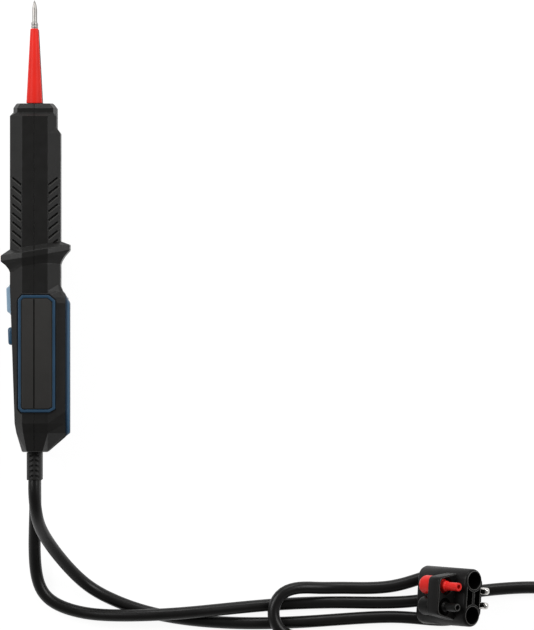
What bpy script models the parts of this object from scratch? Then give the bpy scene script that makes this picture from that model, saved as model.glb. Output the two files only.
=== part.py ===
"""Two-pole voltage tester lying on its side, with the probe handle docked under the display handle.

Units are metres. In the tester frame +X runs from the buttons to the battery cover, +Y from the
cord ends to the probe tips and +Z up from the surface. Heights on a handle count along Y from its
bottom face, and depths count along Z from the handle's own axis.
"""

import math
from collections import namedtuple

import bmesh
import bpy
import numpy as np
from mathutils import Matrix, Vector

MM = 0.001

# Clearances, walls and moulded edges
GAP = 0.3 * MM
WALL = 2.0 * MM
BASE_WALL = 4.0 * MM
TOP_WALL = 8.0 * MM
EDGE = 0.45 * MM
SHARP = math.radians(18)

# Housing outline seen from the side
HANDLE_LENGTH = 203.2 * MM
TOP_FRONT = 10.3 * MM
TOP_BACK = 11.2 * MM
TOP_BEVEL = 2.8 * MM
CAP_FRONT = 12.1 * MM
CAP_BACK = 13.2 * MM
CAP_LENGTH = 5.2 * MM
CAP_STEP = 2.1 * MM
CAP_BACK_LENGTH = 14.5 * MM
CAP_BACK_STEP = 2.9 * MM
GRIP_FRONT = 14.1 * MM
GRIP_BACK = 15.3 * MM
FACET_FRONT = 7.0 * MM
FACET_BACK = 8.0 * MM
FACET_DEPTH = 5.5 * MM
FOOT_SCREW_HEIGHT = 20.0 * MM
TRAY_ABOVE_FOOT_SCREW = 37.0 * MM
TRAY_HEIGHT = FOOT_SCREW_HEIGHT + TRAY_ABOVE_FOOT_SCREW
BELLY_ABOVE_TRAY = 40.4 * MM
BELLY_HEIGHT = TRAY_HEIGHT + BELLY_ABOVE_TRAY
BELLY_SWELL = 10.5 * MM
BASE_FRONT = 11.3 * MM
BASE_FRONT_HEIGHT = 14.3 * MM
BASE_BACK_HEIGHT = 11.1 * MM
BOTTOM_FRONT = 7.1 * MM
BOTTOM_BACK = 8.0 * MM
BOTTOM_TUCK = 7.5 * MM
BASE_TUCK = 2.0 * MM
BASE_TAPER = 0.9
BOTTOM_TAPER = 0.6
CAP_SPREAD = 1.4
TOP_SPREAD = 1.15
SWELL_STEPS = 3
# Belly: how far its flanks fall towards the cover, where along the facet they end, and the fold below them
FLANK_DROP = 2.0 * MM
FLANK_SHARE = 0.806
FOLD_FRONT = 5.6 * MM
FOLD_BACK = 12.8 * MM

# Finger guard, sheared so that its back sits higher than its front
GUARD_ABOVE_BELLY = 20.2 * MM
GUARD_HEIGHT = BELLY_HEIGHT + GUARD_ABOVE_BELLY
GUARD_SHEAR = 0.161
GUARD_REACH = 5.4 * MM
GUARD_RISE = 3.2 * MM
GUARD_RIM = 3.4 * MM
GUARD_FALL = 7.9 * MM
GUARD_ROOT = 0.6 * MM
# Hollow underside: share of the fall, and how much of the reach is left there
GUARD_HOLLOW = ((0.35, 0.52), (0.68, 0.22), (1.15, 0.0))

# Chevron grooves on the grip's slanting facets
GROOVES = 8
GROOVE_PITCH = 5.17 * MM
GROOVES_ABOVE_GUARD = 40.7 * MM
GROOVE_TOP = GUARD_HEIGHT + GROOVES_ABOVE_GUARD
GROOVE_WIDTH = 1.1 * MM
GROOVE_DEPTH = 0.7 * MM
GROOVE_SLOPE = math.radians(33)
GROOVE_REACH = 0.52

# Side pads, with one chamfer (width, height) per corner: low front, low back, high back, high front
PAD_FRONT = 9.3 * MM
PAD_BACK = 12.4 * MM
PAD_LOW = 23.2 * MM
PAD_HIGH = 91.5 * MM
PAD_CHAMFERS = ((1.8 * MM, 2.3 * MM), (3.4 * MM, 2.0 * MM), (3.8 * MM, 3.1 * MM), (2.2 * MM, 2.7 * MM))
PAD_PROUD = 1.5 * MM
PAD_SEAT = 0.8 * MM
PAD_BORDER = 0.9 * MM
PAD_STEP = 0.3 * MM
PAD_SLOT_WIDTH = 0.5 * MM
PAD_SLOT_DEPTH = 0.6 * MM
PAD_SLOT_END = 2.6 * MM
RIM_WIDTH = 1.9 * MM
RIM_DROP = 0.35 * MM

# Buttons on the front
BUTTON_BELOW_BELLY = 8.6 * MM
BUTTON_HEIGHT = BELLY_HEIGHT - BUTTON_BELOW_BELLY
BUTTON_LENGTH = 17.8 * MM
BUTTON_PROUD = 2.3 * MM
BUTTON_TRAVEL = 1.5 * MM
FUNCTION_BELOW_BUTTON = 21.2 * MM
FUNCTION_HEIGHT = BUTTON_HEIGHT - FUNCTION_BELOW_BUTTON
FUNCTION_LENGTH = 10.4 * MM
FUNCTION_WIDTH = 10.0 * MM
FUNCTION_PROUD = 2.2 * MM
FUNCTION_TRAVEL = 1.0 * MM
BUTTON_FLANGE = 1.2 * MM
BUTTON_FLANGE_THICK = 1.0 * MM
BUTTON_CORNER = 2.2 * MM
# Button key: share of its height above the wall, and how far its edge is drawn in there
BUTTON_CROWN = ((1.0, 1.9 * MM), (0.8, 1.1 * MM), (0.15, 0.0))
PLUNGER = 1.6 * MM

# Display window, its scale of lamps and the parts behind them
WINDOW_BELOW_FUNCTION = 25.6 * MM
WINDOW_HEIGHT = FUNCTION_HEIGHT - WINDOW_BELOW_FUNCTION
WINDOW_LENGTH = 30.0 * MM
WINDOW_WIDTH = 15.0 * MM
WINDOW_SIDE = -5.0 * MM
WINDOW_THICK = 1.4 * MM
WINDOW_CORNER = 1.2 * MM
WINDOW_LEDGE = 1.2 * MM
LAMPS = 7
LAMP_PITCH = 4.4 * MM
LAMP_RADIUS = 1.3 * MM
LAMP_SIDE = 10.8 * MM
LAMP_DOME = 0.4 * MM
LAMP_BAR_WIDTH = 4.4 * MM
LAMP_BAR_THICK = 1.0 * MM
LAMP_BAR_CORNER = 1.0 * MM
LAMP_CROWN = 0.6
LCD_LENGTH = 32.0 * MM
LCD_WIDTH = 17.0 * MM
LCD_THICK = 3.4 * MM
BOARD_FRONT = 5.6 * MM
BOARD_THICK = 1.6 * MM
BOARD_ABOVE_BUTTON = 8.4 * MM
BOARD_TOP = BUTTON_HEIGHT + BOARD_ABOVE_BUTTON
BOARD_WIDTH = 32.0 * MM
PROBE_BOARD_LENGTH = 42.0 * MM
PROBE_BOARD_WIDTH = 22.8 * MM
SWITCH_SIZE = 6.0 * MM
SWITCH_TALL = 1.6 * MM
POST_RADIUS = 1.4 * MM
POST_INSET = 2.4 * MM
BUZZER_RADIUS = 6.0 * MM
BUZZER_THICK = 4.5 * MM
MOTOR_RADIUS = 3.0 * MM
MOTOR_LENGTH = 12.0 * MM
MODULE_BELOW_TOP = 7.7 * MM
MODULE_HEIGHT = BOARD_TOP - MODULE_BELOW_TOP
MODULE_SIDE = 8.5 * MM

# Battery compartment and its cover on the back
COVER_PLANE = 18.4 * MM
CELL_RADIUS = 5.25 * MM
CELL_LENGTH = 44.5 * MM
CELL_NIPPLE = 1.9 * MM
CELL_NIPPLE_TALL = 0.9 * MM
CELL_EDGE = 0.4 * MM
CELL_CRIMP = 0.8 * MM
CELL_SPACING = 11.3 * MM
TRAY_WALL = 1.4 * MM
CONTACT_THICK = 0.5 * MM
SPRING_RADIUS = 3.0 * MM
SPRING_LENGTH = 2.0 * MM
COVER_SCREW_BELOW_BELLY = 9.6 * MM
COVER_SCREW_HEIGHT = BELLY_HEIGHT - COVER_SCREW_BELOW_BELLY

# Screws
SCREW_SHANK = 1.45 * MM
SCREW_HEAD = 2.75 * MM
SCREW_HEAD_TALL = 2.0 * MM
SCREW_SINK = 4.0 * MM
SCREW_CROWN = 0.7
SCREW_TIP = 8.0 * MM
BOSS_RADIUS = 4.4 * MM
COVER_BOSS_RADIUS = 3.3 * MM
COVER_SHANK = 1.2 * MM
COVER_HEAD = 2.4 * MM
COVER_HEAD_TALL = 1.1 * MM
COVER_SINK = 1.3 * MM
COVER_SCREW_LENGTH = 8.5 * MM
GRIP_SCREW_BELOW_TOP = 31.2 * MM
GRIP_SCREW_HEIGHT = HANDLE_LENGTH - GRIP_SCREW_BELOW_TOP
NECK_SCREW_HEIGHT = BUTTON_HEIGHT + BUTTON_LENGTH / 2 + BUTTON_FLANGE + BOSS_RADIUS + 2 * GAP
FOOT_SCREW_SIDE = 10.6 * MM
PROBE_SCREW_HEIGHT = 40.0 * MM
BOARD_LENGTH = BOARD_TOP - FOOT_SCREW_HEIGHT - BOSS_RADIUS - 2 * GAP

# Probe rods and their insulating sleeves
PROBE_REACH = 60.3 * MM
TIP_HEIGHT = HANDLE_LENGTH + PROBE_REACH
POINT_LENGTH = 4.6 * MM
TIP_RADIUS = 1.2 * MM
BARE_TIP = 16.2 * MM
COLLAR_HEIGHT = TIP_HEIGHT - BARE_TIP
COLLAR_LENGTH = 3.6 * MM
COLLAR_RADIUS = 1.8 * MM
COLLAR_EDGE = 0.5 * MM
POINT_BREAK = 0.35
POINT_RADIUS = 0.65 * MM
SLEEVE_TOP_RADIUS = 2.4 * MM
SLEEVE_TOP_ROUND = 0.4 * MM
SLEEVE_TOP_BAND = 0.9 * MM
SLEEVE_BASE_RADIUS = 4.7 * MM
SLEEVE_STEM_RADIUS = 3.4 * MM
SLEEVE_FLANGE_RADIUS = 5.5 * MM
SLEEVE_FLANGE = 1.6 * MM
ROD_FOOT_RADIUS = 2.6 * MM
ROD_FOOT_LENGTH = 3.0 * MM
LENS_RADIUS = 1.5 * MM
LENS_SIDE = 7.6 * MM
LENS_FLANGE = 2.1 * MM
LENS_FLANGE_THICK = 1.0 * MM

# Strain reliefs and cord
RELIEF_LENGTH = 16.5 * MM
RELIEF_RADIUS = 4.5 * MM
RELIEF_NECK = 3.3 * MM
RELIEF_FLANGE = 5.2 * MM
RELIEF_FLANGE_THICK = 2.0 * MM
RELIEF_BEVEL = 0.6 * MM
RELIEF_SLOTS = 5
RELIEF_PITCH = 3.0 * MM
RELIEF_SLOT_LENGTH = 3.3 * MM
RELIEF_SLOT_WIDTH = 1.2 * MM
RELIEF_SLOT_DEPTH = 1.1 * MM
RELIEF_SLOT_SIDE = 2.0 * MM
RELIEF_SLOT_SLOPE = math.radians(24)
CORD_DIAMETER = 7.2 * MM
CORD_SPACING = 16.0 * MM
CORD_STUB = 3.0 * MM

# Handle depths along Z
DISPLAY_DEPTH = 43.7 * MM
PROBE_DEPTH = 34.0 * MM
DISPLAY_GRIP_DEPTH = 36.0 * MM
PROBE_GRIP_DEPTH = 28.0 * MM
DISPLAY_CAP_DEPTH = 29.0 * MM
PROBE_CAP_DEPTH = 22.0 * MM
DISPLAY_BUTTON_WIDTH = 16.0 * MM
PROBE_BUTTON_WIDTH = 12.0 * MM
BELLY_BACK = 20.9 * MM

# Tip protector lying on the cord, measured along its tubes, across them and through its thickness
BLOCK_LENGTH = 41.4 * MM
BLOCK_THICK = 13.4 * MM
TUBE_SPACING = 20.5 * MM
TUBE_BORE = 10.1 * MM
TUBE_WALL = 1.65 * MM
TUBE_FLOOR = 2.0 * MM
BLOCK_WEB = 1.8 * MM
POCKET_DEPTH = 12.0 * MM
POCKET_STEPS = 3
EAR_START = 23.0 * MM
EAR_THICK = 9.3 * MM
EAR_REACH = 19.9 * MM
EAR_TIP = 22.0 * MM
EAR_ROOT = 28.6 * MM
EAR_CORNER = 3.2 * MM
EAR_CORNER_ANGLES = (15, 50, 90)
CAP_OUT = 13.8 * MM
CAP_APART = 12.1 * MM
CAP_BUTT_RADIUS = 5.5 * MM
CAP_BUTT_LENGTH = 8.8 * MM
CAP_COLLAR_RADIUS = 4.15 * MM
CAP_TUBE_RADIUS = 2.45 * MM
CAP_BORE_RADIUS = 1.2 * MM
CAP_END = 42.7 * MM
CAP_SHOULDER = 1.0 * MM
CAP_SHOULDER_RADIUS = 2.8 * MM
ADAPTER_OUT = 13.4 * MM
ADAPTER_APART = 8.6 * MM
ADAPTER_RADIUS = 2.0 * MM
ADAPTER_FLANGE = 3.2 * MM
ADAPTER_FLANGE_THICK = 1.8 * MM
ADAPTER_END = 39.9 * MM
ADAPTER_NOSE = 1.4 * MM
ADAPTER_NOSE_RADIUS = 1.2 * MM
ADAPTER_NOSE_END = 0.3 * MM
BLOCK_X = 227.6 * MM
BLOCK_Y = -83.6 * MM
BLOCK_YAW = math.radians(-3.7)
BLOCK_END_REST = 7.7 * MM
BLOCK_EAR_REST = 15.1 * MM

# The cord's route in millimetres in the tester frame, from the display handle to the probe handle
ROUTE_BELOW_RELIEF = (
    (0.0, -23.5, 56.15), (1.0, -35.0, 52.0), (6.5, -50.5, 33.0), (26.5, -75.0, 7.6),
    (42.5, -85.5, 3.8), (67.5, -94.5, 3.6), (105.5, -100.0, 3.6), (155.0, -100.0, 3.6),
    (208.0, -97.0, 3.6), (230.5, -98.4, 3.6), (243.5, -98.4, 5.6), (252.9, -94.3, 9.4),
    (256.8, -85.0, 11.3), (252.9, -75.7, 9.4), (243.5, -71.6, 5.6), (230.5, -73.0, 3.6),
    (209.0, -79.0, 3.6), (181.0, -80.0, 3.6), (166.5, -80.0, 5.6), (154.0, -80.0, 9.2),
    (144.0, -84.0, 11.3), (139.5, -94.5, 11.5), (144.0, -105.0, 11.3), (154.0, -109.0, 9.0),
    (169.5, -109.5, 4.8), (240.0, -112.0, 3.6), (297.5, -109.5, 3.6), (308.5, -105.0, 3.6),
    (313.0, -94.5, 3.6), (308.5, -84.0, 3.6), (297.5, -80.0, 3.6), (255.5, -82.5, 3.6),
    (219.0, -88.0, 3.6), (178.5, -88.5, 3.6), (137.5, -90.0, 3.6), (99.5, -93.5, 9.8),
    (73.5, -95.5, 11.6), (44.0, -96.0, 7.4), (23.5, -93.5, 3.6), (6.5, -85.0, 3.6),
    (0.0, -66.5, 6.2), (0.0, -36.0, 15.8), (0.0, -23.5, 17.0),
)

# Sides of large round pieces, of small ones and of lamps, and the cord's bevel resolution
ROUND = 16
FINE = 12
LAMP_SIDES = 8
CORD_SIDES = 2
SPLINE_SAMPLES = 4000

Section = namedtuple("Section", "height front facet_front facet_back back half drop")
Handle = namedtuple("Handle", "name depth grip_depth cap_depth belly button_width outward")


def clear_scene():
    """Removes everything that the start-up scene holds."""
    for obj in list(bpy.data.objects):
        bpy.data.objects.remove(obj, do_unlink=True)


def principled(name, colour, roughness, metallic=0.0, transmission=0.0):
    """Material with one Principled shader, made once per name."""
    found = bpy.data.materials.get(name)
    if found:
        return found
    material = bpy.data.materials.new(name)
    material.use_nodes = True
    shader = material.node_tree.nodes["Principled BSDF"]
    shader.inputs["Base Color"].default_value = (*colour, 1.0)
    shader.inputs["Roughness"].default_value = roughness
    shader.inputs["Metallic"].default_value = metallic
    shader.inputs["Transmission Weight"].default_value = transmission
    return material


def black_plastic():
    return principled("black_plastic", (0.012, 0.012, 0.011), 0.45)


def pad_grey():
    return principled("pad_grey", (0.035, 0.033, 0.031), 0.6)


def blue_plastic():
    return principled("blue_plastic", (0.02, 0.075, 0.15), 0.4)


def red_plastic():
    return principled("red_plastic", (0.75, 0.05, 0.04), 0.4)


def bright_steel():
    return principled("bright_steel", (0.6, 0.59, 0.56), 0.25, metallic=1.0)


def black_rubber():
    return principled("black_rubber", (0.014, 0.014, 0.013), 0.6)


def clear_plastic():
    return principled("clear_plastic", (0.6, 0.65, 0.66), 0.1, transmission=0.6)


def board_green():
    return principled("board_green", (0.01, 0.12, 0.05), 0.5)


def screw_zinc():
    return principled("screw_zinc", (0.35, 0.35, 0.36), 0.35, metallic=1.0)


def cell_jacket():
    return principled("cell_jacket", (0.06, 0.07, 0.09), 0.35)


def empty(name, matrix, parent=None):
    """Frame that pieces are parented to."""
    frame = bpy.data.objects.new(name, None)
    bpy.context.collection.objects.link(frame)
    frame.parent = parent
    frame.matrix_local = matrix
    return frame


def piece(name, shape, parent, material, matrix=None, smooth_angle=math.radians(32)):
    """Object from a bmesh, parented to a frame and shaded smooth up to an angle."""
    bmesh.ops.recalc_face_normals(shape, faces=shape.faces)
    mesh = bpy.data.meshes.new(name)
    shape.to_mesh(mesh)
    shape.free()
    mesh.materials.append(material)
    mesh.shade_smooth()
    mesh.set_sharp_from_angle(angle=smooth_angle)
    obj = bpy.data.objects.new(name, mesh)
    bpy.context.collection.objects.link(obj)
    obj.parent = parent
    if matrix:
        obj.matrix_local = matrix
    return obj


def cutter(name, shape, parent, matrix=None):
    """Hidden object that only serves Boolean modifiers."""
    obj = piece(name, shape, parent, black_plastic(), matrix)
    obj.hide_render = True
    obj.display_type = "WIRE"
    return obj


def boolean(obj, operation, *tools):
    """Adds an exact Boolean with one other object or with several at once."""
    name = f"{operation.lower()}_{tools[0].name}"
    modifier = obj.modifiers.new(name, "BOOLEAN")
    modifier.operation = operation
    modifier.solver = "EXACT"
    if len(tools) == 1:
        modifier.object = tools[0]
        return
    group = bpy.data.collections.new(f"{obj.name}_{name}")
    bpy.context.scene.collection.children.link(group)
    for tool in tools:
        group.objects.link(tool)
    modifier.operand_type = "COLLECTION"
    modifier.collection = group


def along_x():
    """Turns a shape built along +Y so that it runs along +X."""
    return Matrix.Rotation(math.radians(-90), 4, "Z")


def loft(rings, closed=False):
    """Skin over rings that all have the same number of points, capped unless it closes on itself."""
    shape = bmesh.new()
    loops = [[shape.verts.new(point) for point in ring] for ring in rings]
    pairs = list(zip(loops, loops[1:]))
    if closed:
        pairs.append((loops[-1], loops[0]))
    for low, high in pairs:
        for i in range(len(low)):
            j = (i + 1) % len(low)
            shape.faces.new((low[i], low[j], high[j], high[i]))
    if not closed:
        shape.faces.new(loops[0])
        shape.faces.new(loops[-1])
    bmesh.ops.recalc_face_normals(shape, faces=shape.faces)
    return shape


def soften(shape, width):
    """Chamfers every edge that stands out."""
    sharp = [edge for edge in shape.edges if edge.calc_face_angle() > SHARP]
    bmesh.ops.bevel(shape, geom=sharp, offset=width, segments=1, affect="EDGES", clamp_overlap=True)
    return shape


def in_triangles(shape):
    """Splits bent faces, so that each face of the skin is flat."""
    bmesh.ops.triangulate(shape, faces=shape.faces)
    return shape


def prism(outline, low, high):
    """Outline of (x, y) points extruded along Z."""
    return loft([[(x, y, z) for x, y in outline] for z in (low, high)])


def ring_prism(outer, inner, low, high):
    """Closed frame between two outlines of as many points, extruded along Z."""
    rings = [
        [(x, y, low) for x, y in outer],
        [(x, y, high) for x, y in outer],
        [(x, y, high) for x, y in inner],
        [(x, y, low) for x, y in inner],
    ]
    return loft(rings, closed=True)


def box(x, y, z):
    """Block between pairs of coordinates."""
    return prism([(x[0], y[0]), (x[1], y[0]), (x[1], y[1]), (x[0], y[1])], z[0], z[1])


def turned(profile, sides, bored=False):
    """Solid of revolution round Y from (radius, height) points, a tube if the profile closes."""
    shape = bmesh.new()
    rings = []
    for radius, height in profile:
        count = sides if radius > 0 else 1
        angles = [math.tau * i / sides for i in range(count)]
        ring = [shape.verts.new((radius * math.cos(a), height, radius * math.sin(a))) for a in angles]
        rings.append(ring)
    pairs = list(zip(rings, rings[1:]))
    if bored:
        pairs.append((rings[-1], rings[0]))
    for low, high in pairs:
        for i in range(sides):
            j = (i + 1) % sides
            corners = [low[i % len(low)], low[j % len(low)], high[j % len(high)], high[i % len(high)]]
            shape.faces.new(list(dict.fromkeys(corners)))
    bmesh.ops.recalc_face_normals(shape, faces=shape.faces)
    return shape


def rod(radius, low, high, sides=ROUND):
    """Plain cylinder along Y."""
    return turned([(0, low), (radius, low), (radius, high), (0, high)], sides)


def joined(shapes):
    """One bmesh that holds several shapes that don't touch."""
    whole = bmesh.new()
    for shape, matrix in shapes:
        shape.transform(matrix)
        mesh = bpy.data.meshes.new("joined")
        shape.to_mesh(mesh)
        whole.from_mesh(mesh)
        shape.free()
        bpy.data.meshes.remove(mesh)
    return whole


def offset_outline(points, inset):
    """Convex outline moved inwards by a distance, each corner kept where its two sides meet."""
    area = sum(a[0] * b[1] - b[0] * a[1] for a, b in zip(points, points[1:] + points[:1]))
    turn = 1 if area > 0 else -1
    moved = []
    for i, corner in enumerate(points):
        here = Vector(corner)
        before = (here - Vector(points[i - 1])).normalized()
        after = (Vector(points[(i + 1) % len(points)]) - here).normalized()
        inward_a = Vector((-before.y, before.x)) * turn
        inward_b = Vector((-after.y, after.x)) * turn
        bisector = inward_a + inward_b
        moved.append(tuple(here + bisector * (2 * inset / bisector.length_squared)))
    return moved


def cut_corners(x, y, cuts):
    """Rectangle with one chamfer (width, height) per corner: low front, low back, high back, high front."""
    (a, b), (c, d), (e, f), (g, h) = cuts
    return [
        (x[0], y[0] + b), (x[0] + a, y[0]), (x[1] - c, y[0]), (x[1], y[0] + d),
        (x[1], y[1] - f), (x[1] - e, y[1]), (x[0] + g, y[1]), (x[0], y[1] - h),
    ]


def rounded(half_y, half_z, corner, steps=2):
    """Rounded rectangle as (y, z) points about its centre."""
    points = []
    for turn in range(4):
        centre_y = (half_y - corner) * (1 if turn in (0, 3) else -1)
        centre_z = (half_z - corner) * (1 if turn in (0, 1) else -1)
        for step in range(steps + 1):
            angle = math.radians(90) * (turn + step / steps)
            points.append((centre_y + corner * math.cos(angle), centre_z + corner * math.sin(angle)))
    return points


def front_at(height):
    """Distance of the sloping front wall from the handle's axis at a height."""
    share = (height - BASE_FRONT_HEIGHT) / (BELLY_HEIGHT - BASE_FRONT_HEIGHT)
    return BASE_FRONT + (GRIP_FRONT - BASE_FRONT) * share


def front_slope():
    """Lean of the front wall below the guard."""
    return math.atan2(GRIP_FRONT - BASE_FRONT, BELLY_HEIGHT - BASE_FRONT_HEIGHT)


def on_front(height, side=0.0):
    """Frame on the front wall with -X out of the surface and Y up along it."""
    place = Matrix.Translation((-front_at(height), height, side))
    return place @ Matrix.Rotation(front_slope(), 4, "Z")


def swell(share, belly):
    """Back of the housing along the rounded swelling above the battery cover."""
    return GRIP_BACK + (belly - GRIP_BACK) * (1 - math.cos(math.pi * share)) / 2


def section_at(height, front, facet_front, facet_back, back, half, drop=FACET_DEPTH * FLANK_SHARE):
    """Cross-section at a height; drop is how deep its back facet lies at FLANK_SHARE of its width."""
    return Section(height, front, facet_front, facet_back, back, half, drop)


def housing_sections(handle):
    """The housing's cross-sections from the bottom face to the top face."""
    body = handle.depth / 2 - PAD_PROUD
    grip = handle.grip_depth / 2
    cap = handle.cap_depth / 2
    belly = handle.belly
    straight = FACET_DEPTH * FLANK_SHARE
    slope = BASE_BACK_HEIGHT / BASE_FRONT_HEIGHT
    corner_front = BOTTOM_FRONT + (BASE_FRONT - BOTTOM_FRONT) * slope
    fold_low = BASE_BACK_HEIGHT + FOLD_FRONT
    fold_high = BASE_BACK_HEIGHT + FOLD_BACK
    fold_drop = straight + (FLANK_DROP - straight) * FOLD_FRONT / FOLD_BACK
    bottom = (BOTTOM_FRONT, BOTTOM_FRONT * BOTTOM_TAPER, BOTTOM_BACK * BOTTOM_TAPER, BOTTOM_BACK)
    base = (corner_front, FACET_FRONT * BASE_TAPER, FACET_BACK, belly, body - BASE_TUCK)
    sections = [
        section_at(0, *bottom, body - BOTTOM_TUCK),
        section_at(BASE_BACK_HEIGHT, *base),
        section_at(fold_low, front_at(fold_low), FACET_FRONT, FACET_BACK, belly, body, fold_drop),
        section_at(fold_high, front_at(fold_high), FACET_FRONT, FACET_BACK, belly, body, FLANK_DROP),
    ]
    for step in range(SWELL_STEPS):
        share = 1 - step / SWELL_STEPS
        height = BELLY_HEIGHT - BELLY_SWELL * share
        back = swell(share, belly)
        drop = straight + (FLANK_DROP - straight) * share
        sections.append(section_at(height, front_at(height), FACET_FRONT, FACET_BACK, back, body, drop))
    shoulder = HANDLE_LENGTH - CAP_LENGTH
    back_low = HANDLE_LENGTH - CAP_BACK_LENGTH
    upper = (GRIP_FRONT, FACET_FRONT, FACET_BACK)
    top = (TOP_FRONT, FACET_FRONT * TOP_SPREAD, FACET_BACK * TOP_SPREAD, TOP_BACK)
    raised = (CAP_FRONT, FACET_FRONT * CAP_SPREAD, FACET_BACK * CAP_SPREAD, CAP_BACK, cap)
    sections += [
        section_at(BELLY_HEIGHT, *upper, GRIP_BACK, body),
        section_at(GUARD_HEIGHT - GUARD_FALL, *upper, GRIP_BACK, body),
        section_at(GUARD_HEIGHT, *upper, GRIP_BACK, grip),
        section_at(back_low - CAP_BACK_STEP, *upper, GRIP_BACK, grip),
        section_at(back_low, *upper, CAP_BACK, grip),
        section_at(shoulder - CAP_STEP, *upper, CAP_BACK, grip),
        section_at(shoulder, *raised),
        section_at(HANDLE_LENGTH - TOP_BEVEL, *raised),
        section_at(HANDLE_LENGTH, *top, cap - TOP_BEVEL / 2),
    ]
    return sections


def outline_of(section, inset=0.0):
    """Ten-sided cross-section as (x, z) points, optionally moved inwards."""
    side = section.half - FACET_DEPTH
    flank = section.facet_back + (section.back - section.facet_back) * FLANK_SHARE
    half_outline = [
        (-section.front, side), (-section.facet_front, section.half), (section.facet_back, section.half),
        (flank, section.half - section.drop), (section.back, side),
    ]
    points = [(x, -z) for x, z in half_outline] + half_outline[::-1]
    return offset_outline(points, inset) if inset else points


def between(sections, height):
    """Cross-section at a height, read from its neighbours."""
    for low, high in zip(sections, sections[1:]):
        if low.height <= height <= high.height:
            share = (height - low.height) / (high.height - low.height)
            return Section(*(a + (b - a) * share for a, b in zip(low, high)))
    raise ValueError(f"no section at {height}")


def ring_at(section, inset=0.0):
    return [(x, section.height, z) for x, z in outline_of(section, inset)]


def housing_shape(handle):
    """Outer form of a whole handle without its guard, in flat triangles, with chamfered end faces."""
    sections = housing_sections(handle)
    ends = between(sections, EDGE), between(sections, HANDLE_LENGTH - EDGE)
    rings = [ring_at(sections[0], EDGE), ring_at(ends[0])]
    rings += [ring_at(section) for section in sections[1:-1]]
    rings += [ring_at(ends[1]), ring_at(sections[-1], EDGE)]
    return in_triangles(loft(rings))


def cavity_shape(handle):
    """Space inside the walls of a handle."""
    sections = housing_sections(handle)
    floor, roof = BASE_WALL, HANDLE_LENGTH - TOP_WALL
    inner = [s for s in sections if floor + GAP < s.height < roof - GAP]
    inner = [between(sections, floor), *inner, between(sections, roof)]
    plane = COVER_PLANE - GAP / 2
    rings = [ring_at(section._replace(back=min(section.back, plane)), WALL) for section in inner]
    return in_triangles(loft(rings))


def guard_shape(handle):
    """Finger guard: a sheared collar with a flat rim and a hollow underside."""
    grip = handle.grip_depth / 2
    body = handle.depth / 2 - PAD_PROUD
    root = section_at(0, GRIP_FRONT, FACET_FRONT, FACET_BACK, GRIP_BACK, grip)
    foot = root._replace(half=body)
    rim = root._replace(front=GRIP_FRONT + GUARD_REACH, back=GRIP_BACK + GUARD_REACH, half=handle.depth / 2)
    top = outline_of(root, GUARD_ROOT)
    edge = outline_of(rim)
    base = outline_of(foot, GUARD_ROOT)
    levels = [(GUARD_RISE, top, 0.0), (0.0, edge, 1.0), (-GUARD_RIM, edge, 1.0)]
    levels += [(-GUARD_RIM - GUARD_FALL * fall, base, out) for fall, out in GUARD_HOLLOW]
    rings = []
    for rise, inner, out in levels:
        ring = []
        for (x0, z0), (x1, z1) in zip(inner, edge):
            x = x0 + (x1 - x0) * out
            z = z0 + (z1 - z0) * out
            ring.append((x, GUARD_HEIGHT + rise + GUARD_SHEAR * x, z))
        rings.append(ring)
    return in_triangles(soften(loft(rings), EDGE / 2))


def screw_places(handle):
    """Height and depth of each housing screw."""
    places = [(GRIP_SCREW_HEIGHT, 0.0), (NECK_SCREW_HEIGHT, 0.0)]
    if handle.name == "display":
        return places + [(FOOT_SCREW_HEIGHT, -FOOT_SCREW_SIDE), (FOOT_SCREW_HEIGHT, FOOT_SCREW_SIDE)]
    return places + [(PROBE_SCREW_HEIGHT, 0.0)]


def back_wall(handle, height):
    """Back face of the black housing at a height, under the battery cover where there is one."""
    back = between(housing_sections(handle), height).back
    if handle.name == "display" and height < BELLY_HEIGHT:
        return min(back, COVER_PLANE - GAP / 2)
    return back


def front_wall(handle, height):
    return between(housing_sections(handle), height).front


def along_x_rods(places, radius, spans, sides=FINE):
    """Cylinders along X at (height, depth) places, each between two x values."""
    shapes = []
    for (height, depth), (low, high) in zip(places, spans):
        shapes.append((rod(radius, low, high, sides), Matrix.Translation((0, height, depth)) @ along_x()))
    return joined(shapes)


def board_posts(handle):
    """Height and depth of the posts that carry the circuit board."""
    length = BOARD_LENGTH if handle.name == "display" else PROBE_BOARD_LENGTH
    width = BOARD_WIDTH if handle.name == "display" else PROBE_BOARD_WIDTH
    low = BOARD_TOP - length + POST_INSET
    if handle.name == "display":
        low = FUNCTION_HEIGHT - FUNCTION_LENGTH / 2
    side = width / 2 - POST_INSET
    return [(height, depth) for height in (low, BOARD_TOP - POST_INSET) for depth in (-side, side)]


def pad_outline():
    """Side pad seen from the side, with its four unequal corner chamfers."""
    return cut_corners((-PAD_FRONT, PAD_BACK), (PAD_LOW, PAD_HIGH), PAD_CHAMFERS)


def pad_plateaus(handle):
    """Raised beds for the pads, which stand clear of the slanting facets."""
    body = handle.depth / 2 - PAD_PROUD
    outline = offset_outline(pad_outline(), -PAD_BORDER)
    beds = [prism(outline, side * (body - FACET_DEPTH), side * (body + PAD_STEP)) for side in (-1, 1)]
    return joined([(bed, Matrix()) for bed in beds])


def pad_recesses(handle):
    """Shallow seats for the pads in both sides of the housing."""
    body = handle.depth / 2 - PAD_PROUD
    outline = offset_outline(pad_outline(), -GAP)
    seats = [prism(outline, side * (body - PAD_SEAT), side * (body + PAD_PROUD)) for side in (-1, 1)]
    return joined([(seat, Matrix()) for seat in seats])


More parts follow.
